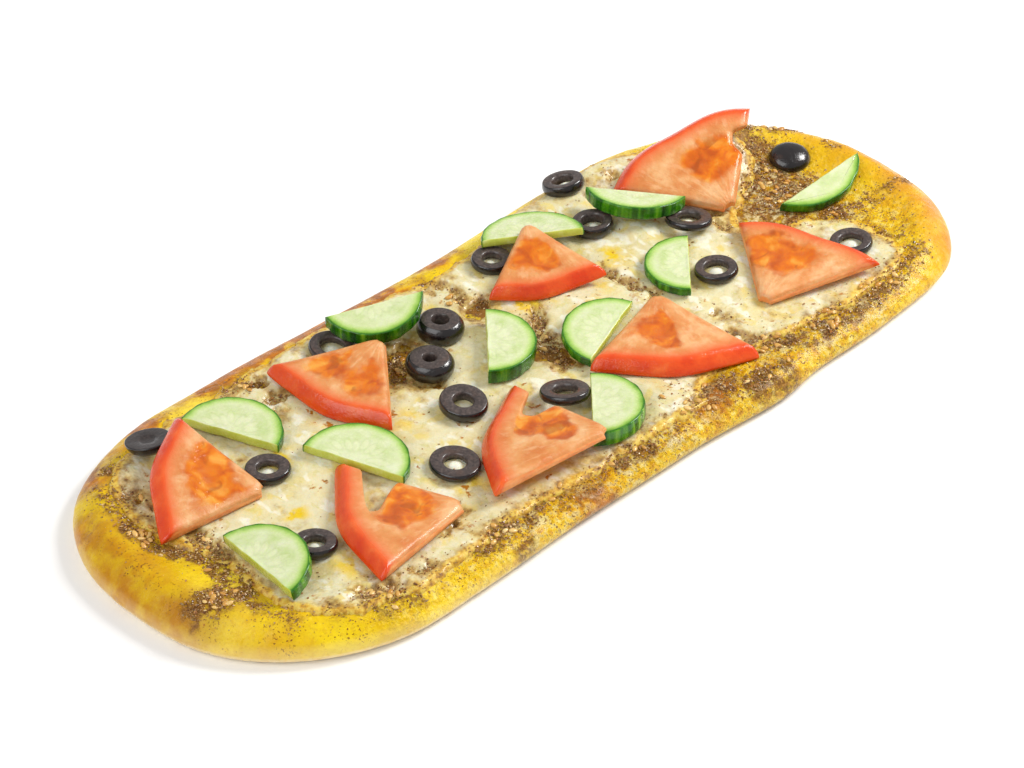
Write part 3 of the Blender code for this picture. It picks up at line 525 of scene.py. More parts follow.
class Shade:
    """A Principled material and the nodes that feed it."""

    def __init__(self, name, roughness, specular=0.5, coat=0.0, coat_roughness=0.1, below=0.0,
                 reach=None):
        self.material = bpy.data.materials.new(name)
        self.material.use_nodes = True
        self.tree = self.material.node_tree
        self.shader = self.tree.nodes["Principled BSDF"]
        self.set("Roughness", roughness)
        self.set("Specular IOR Level", specular)
        self.set("Coat Weight", coat)
        self.set("Coat Roughness", coat_roughness)
        if below:
            self.set("Subsurface Weight", below)
            self.set("Subsurface Radius", reach or (0.003, 0.0015, 0.0007))
            self.set("Subsurface Scale", 1.0)
        self.place = self.add("ShaderNodeTexCoord").outputs["Object"]

    def add(self, kind, inputs=(), **settings):
        """A new node, with its settings and what goes into its sockets."""
        node = self.tree.nodes.new(kind)
        for key, value in settings.items():
            setattr(node, key, value)
        for socket, value in inputs:
            self.link(value, node.inputs[socket])
        return node

    def set(self, socket, value):
        self.shader.inputs[socket].default_value = value

    def link(self, value, socket):
        """Sets a socket to a number or to a colour as seen on screen, or links an output to it."""
        if isinstance(value, tuple) and len(value) == 3:
            socket.default_value = tint(*value)
        elif isinstance(value, (int, float, tuple)):
            socket.default_value = value
        else:
            self.tree.links.new(value, socket)

    def feed(self, socket, value):
        self.link(value, self.shader.inputs[socket])

    def noise(self, size, detail=2.0, rough=0.5, at=None, stretch=None, distortion=0.0):
        """Noise whose features are about size metres across."""
        source = at or self.place
        if stretch:
            scaled = self.add("ShaderNodeMapping", [("Vector", source)])
            scaled.inputs["Scale"].default_value = stretch
            source = scaled.outputs["Vector"]
        node = self.add("ShaderNodeTexNoise", (
            ("Scale", 1 / size), ("Detail", detail), ("Roughness", rough),
            ("Distortion", distortion), ("Vector", source)))
        return node.outputs["Fac"]

    def attribute(self, name, output="Fac"):
        return self.add("ShaderNodeAttribute", attribute_name=name).outputs[output]

    def math(self, operation, a, b=0.0):
        return self.add("ShaderNodeMath", ((0, a), (1, b)), operation=operation).outputs[0]

    def times(self, a, b):
        return self.math("MULTIPLY", a, b)

    def plus(self, a, b):
        return self.math("ADD", a, b)

    def minus(self, a, b):
        return self.math("SUBTRACT", a, b)

    def band(self, value, low, high, to_low=0.0, to_high=1.0):
        """A smooth step of value from low to high."""
        node = self.add("ShaderNodeMapRange", (
            ("Value", value), ("From Min", low), ("From Max", high), ("To Min", to_low),
            ("To Max", to_high)), interpolation_type="SMOOTHSTEP")
        return node.outputs["Result"]

    def mix(self, share, a, b):
        node = self.add("ShaderNodeMix", data_type="RGBA")
        for socket, value in zip((node.inputs[0], node.inputs[6], node.inputs[7]), (share, a, b)):
            self.link(value, socket)
        return node.outputs[2]

    def ramp(self, value, stops):
        node = self.add("ShaderNodeValToRGB", [("Fac", value)])
        ramp = node.color_ramp
        while len(ramp.elements) < len(stops):
            ramp.elements.new(0.5)
        for element, (position, colour) in zip(ramp.elements, stops):
            element.position = position
            element.color = tint(*colour)
        return node.outputs["Color"]

    def bump(self, height, distance, strength=1.0):
        node = self.add("ShaderNodeBump", (
            ("Strength", strength), ("Distance", distance), ("Height", height)))
        previous = self.shader.inputs["Normal"].links
        if previous:
            self.tree.links.new(previous[0].from_socket, node.inputs["Normal"])
        self.tree.links.new(node.outputs["Normal"], self.shader.inputs["Normal"])


def bread_material():
    m = Shade("oiled bread crust", 0.42, specular=0.2, coat=0.1, coat_roughness=0.1)
    broad = m.noise(0.026, 3)
    patch = m.noise(0.009, 4, 0.6)
    fine = m.noise(0.0016, 4, 0.65)
    rough = m.attribute("rough")
    golden = m.ramp(broad, [(0.30, (226, 184, 4)), (0.48, (242, 212, 16)), (0.66, (250, 222, 70))])
    golden = m.mix(m.band(patch, 0.50, 0.70, 0, 0.5), golden, (222, 174, 0))
    deeper = m.band(m.noise(0.017, 3, 0.55, distortion=0.4), 0.52, 0.66, 0, 0.4)
    golden = m.mix(deeper, golden, (212, 182, 6))
    amber = m.times(m.attribute("amber"), m.band(patch, 0.3, 0.6, 0.55, 1.0))
    golden = m.mix(amber, golden, (188, 126, 0))
    golden = m.mix(m.band(fine, 0.50, 0.68, 0, 0.3), golden, (196, 134, 8))
    tanned = m.times(m.attribute("tanned"), m.band(patch, 0.25, 0.6, 0.6, 1.0))
    golden = m.mix(tanned, golden, (206, 134, 16))
    brown = m.times(m.attribute("brown"), m.band(m.noise(0.0042, 4, 0.6), 0.34, 0.56, 0.35, 1.1))
    golden = m.mix(m.band(brown, 0.1, 0.9), golden, (128, 86, 32))
    crust = m.ramp(m.noise(0.0034, 4, 0.7), [
        (0.31, (160, 96, 10)), (0.40, (214, 150, 2)), (0.52, (240, 200, 8)),
        (0.63, (252, 232, 140))])
    golden = m.mix(m.times(rough, 0.85), golden, crust)
    soaked = m.times(rough, m.band(m.noise(0.0019, 4, 0.7), 0.57, 0.65, 0, 0.75))
    golden = m.mix(soaked, golden, (142, 84, 16))
    toast = m.times(m.attribute("toast"), m.band(patch, 0.36, 0.62, 0.45, 1.15))
    toasted = m.ramp(m.noise(0.0045, 3), [(0.35, (208, 124, 20)), (0.62, (160, 96, 32))])
    surface = m.mix(m.band(toast, 0.06, 0.95), golden, toasted)
    zaatar = m.attribute("zaatar")
    smear = m.times(m.attribute("smear"), m.band(m.noise(0.0085, 4, 0.6), 0.36, 0.58, 0.25, 1.0))
    surface = m.mix(m.times(smear, 0.32), surface, (164, 110, 14))
    stain = m.times(zaatar, m.band(m.noise(0.0030, 4, 0.7), 0.36, 0.60, 0.2, 1.4))
    surface = m.mix(m.band(stain, 0.10, 0.75, 0, 0.9), surface, m.ramp(m.noise(0.0013, 3, 0.7), [
        (0.34, (92, 54, 18)), (0.52, (140, 92, 32)), (0.68, (178, 128, 56))]))
    fleck = m.times(m.attribute("fleck"), m.band(m.noise(0.0034, 4, 0.65), 0.47, 0.57))
    surface = m.mix(fleck, surface, m.ramp(fine, [(0.36, (186, 156, 96)), (0.62, (222, 204, 152))]))
    dots = m.band(m.noise(0.00085, 2, 0.5), 0.60, 0.66)
    dots = m.times(dots, m.math("MAXIMUM", rough, m.band(m.noise(0.011, 2), 0.46, 0.62, 0.1, 1.0)))
    surface = m.mix(m.times(dots, m.attribute("upper")), surface, (134, 84, 14))
    side = m.ramp(m.noise(0.006, 4, 0.6), [(0.30, (242, 214, 158)), (0.50, (248, 228, 184)),
                                           (0.70, (236, 196, 124))])
    surface = m.mix(m.attribute("side"), surface, side)
    under = m.ramp(m.noise(0.012, 5, 0.62), [(0.36, (236, 206, 158)), (0.52, (226, 184, 122)),
                                             (0.62, (190, 128, 66)), (0.74, (140, 84, 40))])
    surface = m.mix(m.attribute("under"), surface, under)
    m.feed("Base Color", surface)
    dull = m.times(m.attribute("side"), 0.2)
    m.feed("Roughness", m.minus(m.plus(m.band(fine, 0.3, 0.7, 0.24, 0.46), dull),
                               m.times(rough, 0.12)))
    m.bump(m.noise(0.0105, 3, 0.55), 0.0022, 0.5)
    m.bump(m.noise(0.0052, 4, 0.6), 0.001, 0.6)
    crinkle = m.times(m.noise(0.0021, 3, 0.6), m.plus(m.times(rough, 2.6), 0.5))
    m.bump(crinkle, 0.0009, 0.8)
    grit = m.times(m.noise(0.0008, 3, 0.6), m.band(zaatar, 0.05, 0.6, 0.15, 1.0))
    m.bump(grit, 0.0011, 0.8)
    return m.material


def cheese_material():
    m = Shade("melted cheese", 0.3, specular=0.35, coat=0.16, coat_roughness=0.1, below=0.25,
              reach=(0.003, 0.002, 0.0012))
    broad = m.noise(0.014, 3, 0.55)
    patch = m.noise(0.0055, 3, 0.55)
    fine = m.noise(0.0014, 4, 0.7)
    cream = m.ramp(broad, [
        (0.30, (212, 194, 134)), (0.50, (222, 214, 176)), (0.68, (220, 205, 146))])
    yellow = m.band(m.noise(0.008, 3, 0.5, distortion=0.5), 0.53, 0.66, 0, 0.6)
    cream = m.mix(yellow, cream, (224, 200, 98))
    white = m.band(m.noise(0.0075, 2, 0.5, stretch=(1.5, 1.0, 1.0)), 0.54, 0.64, 0, 0.7)
    cream = m.mix(white, cream, (236, 234, 216))
    dull = m.band(m.noise(0.0052, 3, 0.6, distortion=0.7), 0.56, 0.68, 0, 0.5)
    cream = m.mix(dull, cream, (202, 192, 112))
    oil = m.times(m.attribute("oil"), m.band(patch, 0.4, 0.6, 0.35, 1.1))
    cream = m.mix(m.band(oil, 0.1, 0.9), cream, (228, 194, 30))
    thin = m.attribute("thin")
    mottled = m.plus(thin, m.times(m.minus(m.noise(0.0075, 4, 0.6), 0.47), 2.2))
    veil = m.ramp(m.noise(0.0032, 4, 0.6), [
        (0.32, (124, 84, 26)), (0.45, (166, 126, 54)), (0.56, (198, 166, 92)),
        (0.66, (224, 206, 146))])
    surface = m.mix(m.band(mottled, 0.24, 0.95, 0, 0.9), cream, veil)
    border = m.plus(m.attribute("edge"), m.times(m.minus(m.noise(0.0045, 4, 0.65), 0.5), 1.6))
    melted_in = m.ramp(m.noise(0.0026, 3, 0.65), [
        (0.34, (142, 92, 18)), (0.46, (206, 156, 30)), (0.60, (228, 196, 84))])
    surface = m.mix(m.band(border, 0.45, 0.9, 0, 0.88), surface, melted_in)
    # Cheese in the olive holes: partly its own whiter colour, partly painted light against the
    # shade in the holes
    surface = m.mix(m.attribute("plug_white_and_painted_light"), surface, (232, 232, 214))
    browned = m.band(m.noise(0.0062, 3, 0.55, distortion=0.4), 0.645, 0.70)
    surface = m.mix(m.times(browned, m.attribute("spots")), surface, (176, 112, 30))
    m.feed("Base Color", surface)
    m.feed("Roughness", m.plus(m.band(fine, 0.3, 0.7, 0.16, 0.34),
                               m.times(m.attribute("edge"), 0.3)))
    m.bump(m.noise(0.0066, 3, 0.5), 0.0016, 0.7)
    m.bump(m.noise(0.0017, 2, 0.5), 0.0004, 0.6)
    return m.material


def tomato_material():
    m = Shade("tomato wedge", 0.26, specular=0.4, coat=0.12, coat_roughness=0.08, below=0.16,
              reach=(0.0035, 0.0012, 0.0006))
    polar = m.attribute("polar", "Vector")
    share = m.attribute("share")
    fibres = m.noise(0.8, 3, 0.6, at=polar, stretch=(0.11, 0.26, 0.3))
    broad = m.noise(0.009, 3, 0.55)
    mottle = m.noise(0.0036, 4, 0.6)
    flesh = m.ramp(broad, [(0.32, (206, 124, 62)), (0.50, (218, 148, 86)), (0.68, (228, 176, 122))])
    flesh = m.mix(m.band(mottle, 0.50, 0.66, 0, 0.3), flesh, (214, 118, 56))
    flesh = m.mix(m.band(fibres, 0.50, 0.70, 0, 0.4), flesh, (238, 196, 148))
    wander = m.times(m.minus(broad, 0.5), 0.12)
    wall = m.band(m.plus(share, wander), 0.78, 1.0)
    flesh = m.mix(wall, flesh, (224, 104, 52))
    gel = m.attribute("gel")
    juice = m.noise(0.0068, 2, 0.45, distortion=0.6)
    wet = m.ramp(juice, [
        (0.32, (186, 78, 0)), (0.46, (208, 98, 0)), (0.58, (222, 120, 0)), (0.72, (234, 162, 60))])
    # Darker patches in the gel: partly its own darker amber, partly painted shade inside the
    # pockets
    gel_dark_and_pocket_shade = m.band(m.noise(0.008, 2, 0.5, distortion=0.8), 0.56, 0.68, 0, 0.55)
    wet = m.mix(gel_dark_and_pocket_shade, wet, (150, 62, 0))
    edge = m.plus(gel, m.times(m.minus(m.noise(0.0075, 2, 0.5), 0.5), 1.0))
    surface = m.mix(m.band(edge, 0.10, 1.0, 0, 0.94), flesh, wet)
    rind = m.ramp(m.noise(0.009, 3), [
        (0.34, (218, 62, 14)), (0.56, (230, 84, 26)), (0.72, (238, 112, 48))])
    surface = m.mix(m.band(m.attribute("skin"), 0.05, 0.9), surface, rind)
    cut_face = m.ramp(m.noise(0.006, 3, 0.6, stretch=(1, 1, 2.5)), [
        (0.32, (222, 118, 56)), (0.52, (234, 148, 82)), (0.70, (240, 172, 106))])
    surface = m.mix(m.band(m.attribute("cut"), 0.4, 1.0, 0, 0.8), surface, cut_face)
    m.feed("Base Color", surface)
    m.feed("Roughness", m.band(m.plus(gel, m.attribute("skin")), 0.2, 0.7, 0.4, 0.13))
    m.bump(mottle, 0.0006, 0.5)
    m.bump(m.noise(0.0009, 3, 0.6), 0.0002, 0.5)
    return m.material


def cucumber_material():
    m = Shade("cucumber slice", 0.24, specular=0.35, coat=0.3, coat_roughness=0.08, below=0.3,
              reach=(0.0016, 0.0022, 0.0008))
    rim = m.attribute("rim")
    soft = m.noise(0.006, 3, 0.55)
    fine = m.noise(0.0012, 3, 0.6)
    flesh = m.ramp(soft, [
        (0.30, (190, 206, 142)), (0.50, (204, 214, 162)), (0.70, (216, 222, 184))])
    depth = m.plus(rim, m.times(m.minus(soft, 0.5), 2.4))
    outer = m.ramp(m.band(depth, 0.0, 5.0), [
        (0.0, (104, 152, 40)), (0.16, (144, 186, 78)), (0.42, (184, 208, 124)),
        (0.9, (208, 218, 166))])
    surface = m.mix(m.band(depth, 3.0, 5.2), outer, flesh)
    heart = m.attribute("heart")
    surface = m.mix(m.band(m.plus(heart, m.times(m.minus(soft, 0.5), 0.9)),
                           0.25, 0.85, 0, 0.5), surface, (218, 222, 184))
    seed = m.attribute("seed")
    surface = m.mix(m.band(seed, 0.3, 0.7, 0, 0.3), surface, (224, 226, 184))
    surface = m.mix(m.times(m.band(seed, 0.12, 0.3), m.band(seed, 0.35, 0.6, 0.16, 0)), surface,
                    (170, 188, 104))
    line = m.band(rim, 0.3, 1.0, 1, 0)
    surface = m.mix(line, surface, (44, 108, 10))
    stripes = m.noise(0.0030, 3, 0.5, at=m.attribute("round", "Vector"),
                      stretch=(0.001, 0.001, 0.0001))
    rind = m.ramp(stripes, [(0.30, (12, 58, 0)), (0.46, (34, 96, 4)), (0.58, (66, 134, 10)),
                            (0.70, (118, 172, 38))])
    surface = m.mix(m.band(m.attribute("rind"), 0.3, 0.7), surface, rind)
    straight = m.ramp(m.noise(0.005, 3, 0.6), [(0.30, (186, 196, 66)), (0.55, (200, 208, 92)),
                                               (0.72, (212, 218, 134))])
    surface = m.mix(m.band(m.attribute("cut"), 0.1, 0.8), surface, straight)
    m.feed("Base Color", surface)
    m.feed("Roughness", m.band(fine, 0.3, 0.7, 0.16, 0.34))
    m.bump(m.noise(0.0034, 2, 0.5), 0.0003, 0.4)
    m.bump(fine, 0.00012, 0.5)
    return m.material


def olive_material():
    m = Shade("black olive", 0.22, specular=0.45, coat=0.5, coat_roughness=0.12)
    cut = m.attribute("cut")
    fine = m.noise(0.0011, 3, 0.65)
    broad = m.noise(0.005, 3)
    glossy = m.ramp(broad, [(0.32, (14, 10, 12)), (0.60, (28, 20, 20)), (0.76, (54, 38, 32))])
    matte = m.ramp(fine, [(0.32, (46, 36, 34)), (0.52, (68, 56, 52)), (0.70, (94, 80, 74))])
    matte = m.mix(m.band(broad, 0.55, 0.72, 0, 0.5), matte, (84, 58, 44))
    m.feed("Base Color", m.mix(m.band(cut, 0.35, 0.7), glossy, matte))
    m.feed("Roughness", m.band(cut, 0.3, 0.8, 0.2, 0.46))
    m.bump(fine, 0.0003, 0.5)
    m.bump(m.noise(0.0035, 2), 0.0005, 0.4)
    return m.material


def grain_material():
    m = Shade("zaatar", 0.4, specular=0.35, coat=0.4, coat_roughness=0.1)
    pick = m.attribute("pick")
    colour = m.ramp(pick, [
        (0.0, (94, 54, 22)), (0.16, (136, 84, 36)), (0.34, (168, 118, 56)), (0.5, (148, 116, 58)),
        (0.62, (186, 150, 100)), (0.76, (184, 116, 46)), (0.88, (220, 178, 108)),
        (1.0, (240, 212, 156))])
    shade = m.mix(m.band(m.noise(0.0006, 2), 0.35, 0.65, 0, 0.3), colour, (84, 54, 28))
    m.feed("Base Color", shade)
    m.feed("Roughness", m.band(m.noise(0.0009, 2), 0.3, 0.7, 0.2, 0.5))
    m.bump(m.noise(0.0004, 2), 0.0002, 0.6)
    return m.material


def sesame_material():
    m = Shade("sesame", 0.35, specular=0.4, coat=0.3, coat_roughness=0.12, below=0.15,
              reach=(0.001, 0.0006, 0.0003))
    pick = m.attribute("pick")
    colour = m.ramp(pick, [(0.0, (186, 128, 48)), (0.4, (212, 162, 78)), (0.75, (224, 184, 106)),
                           (1.0, (236, 208, 146))])
    colour = m.mix(m.band(m.attribute("tip"), 0.55, 0.95, 0, 0.7), colour, (178, 116, 44))
    colour = m.mix(m.band(m.noise(0.0009, 3), 0.5, 0.7, 0, 0.3), colour, (190, 132, 58))
    m.feed("Base Color", colour)
    m.feed("Roughness", m.band(m.noise(0.0012, 2), 0.3, 0.7, 0.26, 0.46))
    m.bump(m.noise(0.0007, 2), 0.0001, 0.5)
    return m.material


# Bread

def build_bread():
    loop = smooth_loop(np.array(BREAD_OUTLINE_MM) * MM, BREAD_COLUMNS)
    normals = outward(loop)
    spine_x = np.clip(loop[:, 0], -SPINE_HALF_LENGTH, SPINE_HALF_LENGTH)
    spine = np.stack([spine_x, np.full(len(loop), SPINE_Y)], axis=1)
    spine[:, 1] += SPINE_HALF_WIDTH * np.sign(loop[:, 1] - SPINE_Y)
    vertices, rings, side, under = [], [], [], []

    def ring(plan, heights, on_side, below):
        first = len(vertices)
        vertices.extend((p[0], p[1], z) for p, z in zip(plan, heights))
        side.extend(on_side)
        under.extend([below] * len(plan))
        rings.append(list(range(first, first + len(plan))))

    flat = [0.0] * len(loop)
    for inset in (34 * MM, 16 * MM, 7 * MM, 4.6 * MM):
        ring(loop + (spine - loop) * inset / SPINE_AWAY, flat, flat, 1.0)
    crinkle = 0.35 * MM * ripple(loop, 7 * MM, 6.6) + 0.2 * MM * ripple(loop, 2.6 * MM, 1.1)
    creamy = 0.2 + 0.8 * smoothstep(-30 * MM, -100 * MM, loop[:, 0])
    for inset, z, paleness in BREAD_SIDE:
        lift = crinkle * min(1, z / 2)
        plan = loop - normals * (inset * MM + np.maximum(lift, 0)[:, None] * 0.6)
        pale = paleness * creamy if z > 1 else [paleness] * len(loop)
        ring(plan, [z * MM] * len(loop), pale, 1.0 if z == 0 else 0.0)
    depth = np.linspace(0, 1, BREAD_RINGS) ** 1.25
    for t in depth:
        share = 0.004 + 0.984 * t
        plan = loop + (spine - loop) * share
        pale = np.clip(0.25 * (1 - distance_to(BREAD_EDGE, plan) / (2 * MM)), 0, 0.25) * creamy
        ring(plan, bread_top(plan) + 0.05 * MM, pale, 0.0)
    faces = bands(rings)
    faces.append(tuple(reversed(rings[0])))
    faces.append(tuple(rings[-1]))
    made = mesh_object("bread_crust", shift(vertices), faces)
    turn_out(made)
    plan = np.array(vertices)[:, :2]
    give(made, "side", side)
    give(made, "under", under)
    give(made, "upper", [1.0 if s < 0.3 and u < 0.5 else 0.0 for s, u in zip(side, under)])
    for name, values, most in (
        ("toast", bumps(plan, TOASTED_MM), 1.2), ("tanned", bumps(plan, TANNED_MM), 1),
        ("brown", bumps(plan, BROWN_MM), 1), ("amber", bumps(plan, AMBER_MM), 1),
        ("rough", bumps(plan, ROUGH_MM), 1), ("fleck", bumps(plan, FLECK_MM), 1),
        ("smear", zaatar_strokes(plan, SMEAR_SPREAD), 1), ("zaatar", zaatar_density(plan), 1.3),
    ):
        give(made, name, np.clip(values, 0, most))
    made.data.materials.append(bread_material())
    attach(made, "root")
    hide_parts("bread")


# Cheese

def build_cheese():
    low = CHEESE_EDGE.min(0) - 4 * MM
    high = CHEESE_EDGE.max(0) + 4 * MM
    columns = int((high[0] - low[0]) / CHEESE_CELL)
    rows = int((high[1] - low[1]) / CHEESE_CELL)
    grid = np.array([(low[0] + i * CHEESE_CELL, low[1] + j * CHEESE_CELL)
                     for j in range(rows) for i in range(columns)])
    wander = 0.3 * CHEESE_CELL
    grid[:, 0] += wander * ripple(grid, 2 * CHEESE_CELL, 0.9)
    grid[:, 1] += wander * ripple(grid, 2 * CHEESE_CELL, 5.9)
    depth = cheese_depth(grid)
    base = bread_top(grid)
    edge_fall = distance_to(BREAD_EDGE, grid)
    edge_fall[~inside(BREAD_EDGE, grid)] = 0
    shown = (depth > -CHEESE_DIP) & (edge_fall > 2 * MM)
    top = base + np.where(depth > 0, GAP, 0.0) * np.clip(depth / (0.5 * MM), 0, 1) + depth
    number = np.arange(len(grid)).reshape(rows, columns)
    corners = (np.s_[:-1, :-1], np.s_[:-1, 1:], np.s_[1:, 1:], np.s_[1:, :-1])
    flags = shown.reshape(rows, columns)
    whole = np.logical_and.reduce([flags[c] for c in corners])
    cells = np.stack([number[c][whole] for c in corners], axis=1).tolist()
    used = sorted({k for c in cells for k in c})
    over = {k: n for n, k in enumerate(used)}
    count = len(used)
    top_vertices = [(*grid[k], top[k]) for k in used]
    low_vertices = [(*grid[k], base[k] - CHEESE_SUNK) for k in used]
    faces = [tuple(over[k] for k in c) for c in cells]
    faces += [tuple(over[k] + count for k in reversed(c)) for c in cells]
    directed = {(c[k], c[(k + 1) % 4]) for c in cells for k in range(4)}
    for a, b in sorted(directed):
        if (b, a) not in directed:
            faces.append((over[a] + count, over[b] + count, over[b], over[a]))
    made = mesh_object("melted_cheese", shift(top_vertices + low_vertices), faces)
    turn_out(made)
    plan = grid[used]
    thin = 1 - smoothstep(0.2 * MM, 2.6 * MM, depth[used])
    thin = np.clip(thin + 0.8 * np.clip(zaatar_density(plan), 0, 1), 0, 1)
    oil = np.clip(bumps(plan, OIL_MM), 0, 1)
    spots = np.clip(1 - 2 * np.clip(zaatar_density(plan), 0, 1), 0, 1)
    # Where the cheese in the olive holes is painted whiter, partly as painted light against the
    # shade there
    plugs = [(*OLIVES[n - 1][1:3], 1.0, radius) for n, _, radius in HOLE_PLUGS]
    plug_white_and_painted_light = smoothstep(0.25, 0.75, bumps(plan, plugs))
    edge = 1 - smoothstep(0.5 * MM, 5.5 * MM, distance_to(CHEESE_EDGE, plan))
    marks = {"thin": thin, "oil": oil, "spots": spots, "plug_white_and_painted_light": plug_white_and_painted_light, "edge": edge}
    for name, values in marks.items():
        give(made, name, np.concatenate([values, values]))
    made.data.materials.append(cheese_material())
    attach(made, "root")
    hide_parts("cheese")


# Toppings, each modelled lying flat with its underside at z = 0 and set where its solid lies

def flat_side(node, facing):
    """Up direction and a point of the solid's largest flat face, under it (-1) or on top (1)."""
    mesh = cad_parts[node].data
    totals = {}
    for p in mesh.polygons:
        if p.normal.z * facing < 0.8:
            continue
        key = (round(p.normal.x, 2), round(p.normal.y, 2), round(p.normal @ p.center, 4))
        area, normal, centre = totals.get(key, (0, Vector(), Vector()))
        totals[key] = (area + p.area, normal + p.normal * p.area, centre + p.center * p.area)
    area, normal, centre = max(totals.values(), key=lambda entry: entry[0])
    return facing * normal.normalized(), centre / area


def resting_matrix(node, x, y, heading, top=None):
    """Where the piece lies: by its flat underside, or by its flat top when that height is given."""
    up, point = flat_side(node, -1 if top is None else 1)
    if top is not None:
        point = point - up * top
    tilt = UP.rotation_difference(up).to_matrix().to_4x4()
    place = Vector((x * MM - MIDDLE[0], y * MM - MIDDLE[1], 0))
    place.z = point.z - ((place - point).x * up.x + (place - point).y * up.y) / up.z
    return Matrix.Translation(place) @ tilt @ Matrix.Rotation(math.radians(heading), 4, "Z")


def set_topping(made, node, matrix, material):
    made.data.transform(matrix)
    made.data.update()
    turn_out(made)
    made.data.materials.append(material)
    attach(made, "root")
    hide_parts(node)
    return made


def tomato_piece(name, sweep, radius, thickness, mouth_depth, seed):
    """A wedge of a tomato slice: skin, outer wall, gel in its pockets and radial flesh."""
    radial, around, levels = WEDGE_STEPS_OUT, WEDGE_STEPS_ACROSS, WEDGE_STEPS_DOWN
    half = math.radians(sweep) / 2

    def share_at(i):
        return CORE_CUT + (1 - CORE_CUT) * (i / radial) ** 0.92

    def plan(share, side, edge):
        mouth = math.exp(-((share - MOUTH_AT) / MOUTH_SPREAD) ** 4) * mouth_depth
        low = -1 + 2 * mouth
        angle = half * (low + (1 - low) * (side + 1) / 2)
        lobes = 1 + 0.018 * math.cos(7 * angle + radius / MM)
        flat = 1 - SKIN_FLATNESS * math.cos(math.pi / 2 * side)
        reach = radius * lobes * flat * share - edge
        return reach * math.cos(angle), reach * math.sin(angle), angle

    def height(share, side):
        full = CORE_THICKNESS + (1 - CORE_THICKNESS) * share
        return thickness * full * (1 - CUT_EDGE_DROOP * (1 - 0.7 * share) * side ** 4)

    vertices, top, data = [], [], []
    for i in range(radial + 1):
        share = share_at(i)
        row = []
        for j in range(around + 1):
            side = -1 + 2 * j / around
            x, y, angle = plan(share, side, SKIN_LEAN * share ** 3)
            wobble = noise.noise(Vector((x, y, seed * 0.01)) / (6 * MM))
            small = noise.noise(Vector((x, y, seed * 0.01)) / (2.2 * MM))
            hollow = sum(
                math.exp(-((side - s) / wide) ** 2 - ((share - r) / long) ** 2)
                for s, r, wide, long in POCKETS[name])
            wet = sum(
                math.exp(-((side - s) / (1.35 * wide)) ** 2 - ((share - r) / (1.35 * long)) ** 2)
                for s, r, wide, long in POCKETS[name])
            gel = smoothstep(0.12, 0.70, wet + 0.26 * wobble + 0.12 * small)
            rib = 0.1 * MM * noise.noise(Vector((angle * 9, share * 2, 2.4 * seed)))
            edge = min(i, radial - i, j, around - j)
            drop = (0.85, 0.36, 0.12, 0.03)[edge] * MM if edge < 4 else 0
            z = height(share, side) - POCKET_DEPTH * share * hollow + rib - drop
            z += 0.12 * MM * small * gel
            row.append(len(vertices))
            vertices.append((x, y, z))
            skin = 0.75 * float(smoothstep(0.88, 1.0, share + 0.02 * wobble))
            data.append((share, gel, skin, 0.0, share * radius / MM, angle * radius * 0.7 / MM))
        top.append(row)
    faces = bands(top, closed=False)
    rim = [(0, j) for j in range(around)] + [(i, around) for i in range(radial)]
    rim += [(radial, j) for j in range(around, 0, -1)] + [(i, 0) for i in range(radial, 0, -1)]
    rings = [[top[i][j] for i, j in rim]]
    for level in range(1, levels + 1):
        t = level / levels
        swell = 0.5 * MM * min(t / 0.4, 1 - 0.66 * (t - 0.4))
        first = len(vertices)
        for i, j in rim:
            share, side = share_at(i), -1 + 2 * j / around
            x, y, angle = plan(share, side, SKIN_LEAN * (1 - t) ** 1.57 * share ** 3)
            grow = swell * (1 if j == around else -1 if j == 0 else 0)
            grow += 0.12 * MM * noise.noise(Vector((x / MM / 2.5, y / MM / 2.5, t * 2 + seed)))
            across = math.atan2(y, x) + math.pi / 2
            tuck = 0.3 * MM * max(0.0, t - 0.85) / 0.15 if i == radial else 0
            vertices.append((x + grow * math.cos(across) - tuck * math.cos(angle),
                             y + grow * math.sin(across) - tuck * math.sin(angle),
                             (height(share, side) - 0.85 * MM) * (1 - t)))
            on_skin = 1.0 if i == radial else float(smoothstep(0.9, 1.0, share))
            data.append((share, 0.0, on_skin, 1.0 - on_skin, share * radius / MM, t * 3))
        rings.append(list(range(first, first + len(rim))))
    faces += bands(rings)
    faces.append(tuple(rings[-1]))
    made = mesh_object(f"{name}_flesh", vertices, faces)
    data = np.array(data)
    for k, key in enumerate(("share", "gel", "skin", "cut")):
        give(made, key, data[:, k])
    third = np.full(len(data), seed * 3.7)
    give(made, "polar", np.stack([data[:, 4], data[:, 5], third], axis=1))
    return made


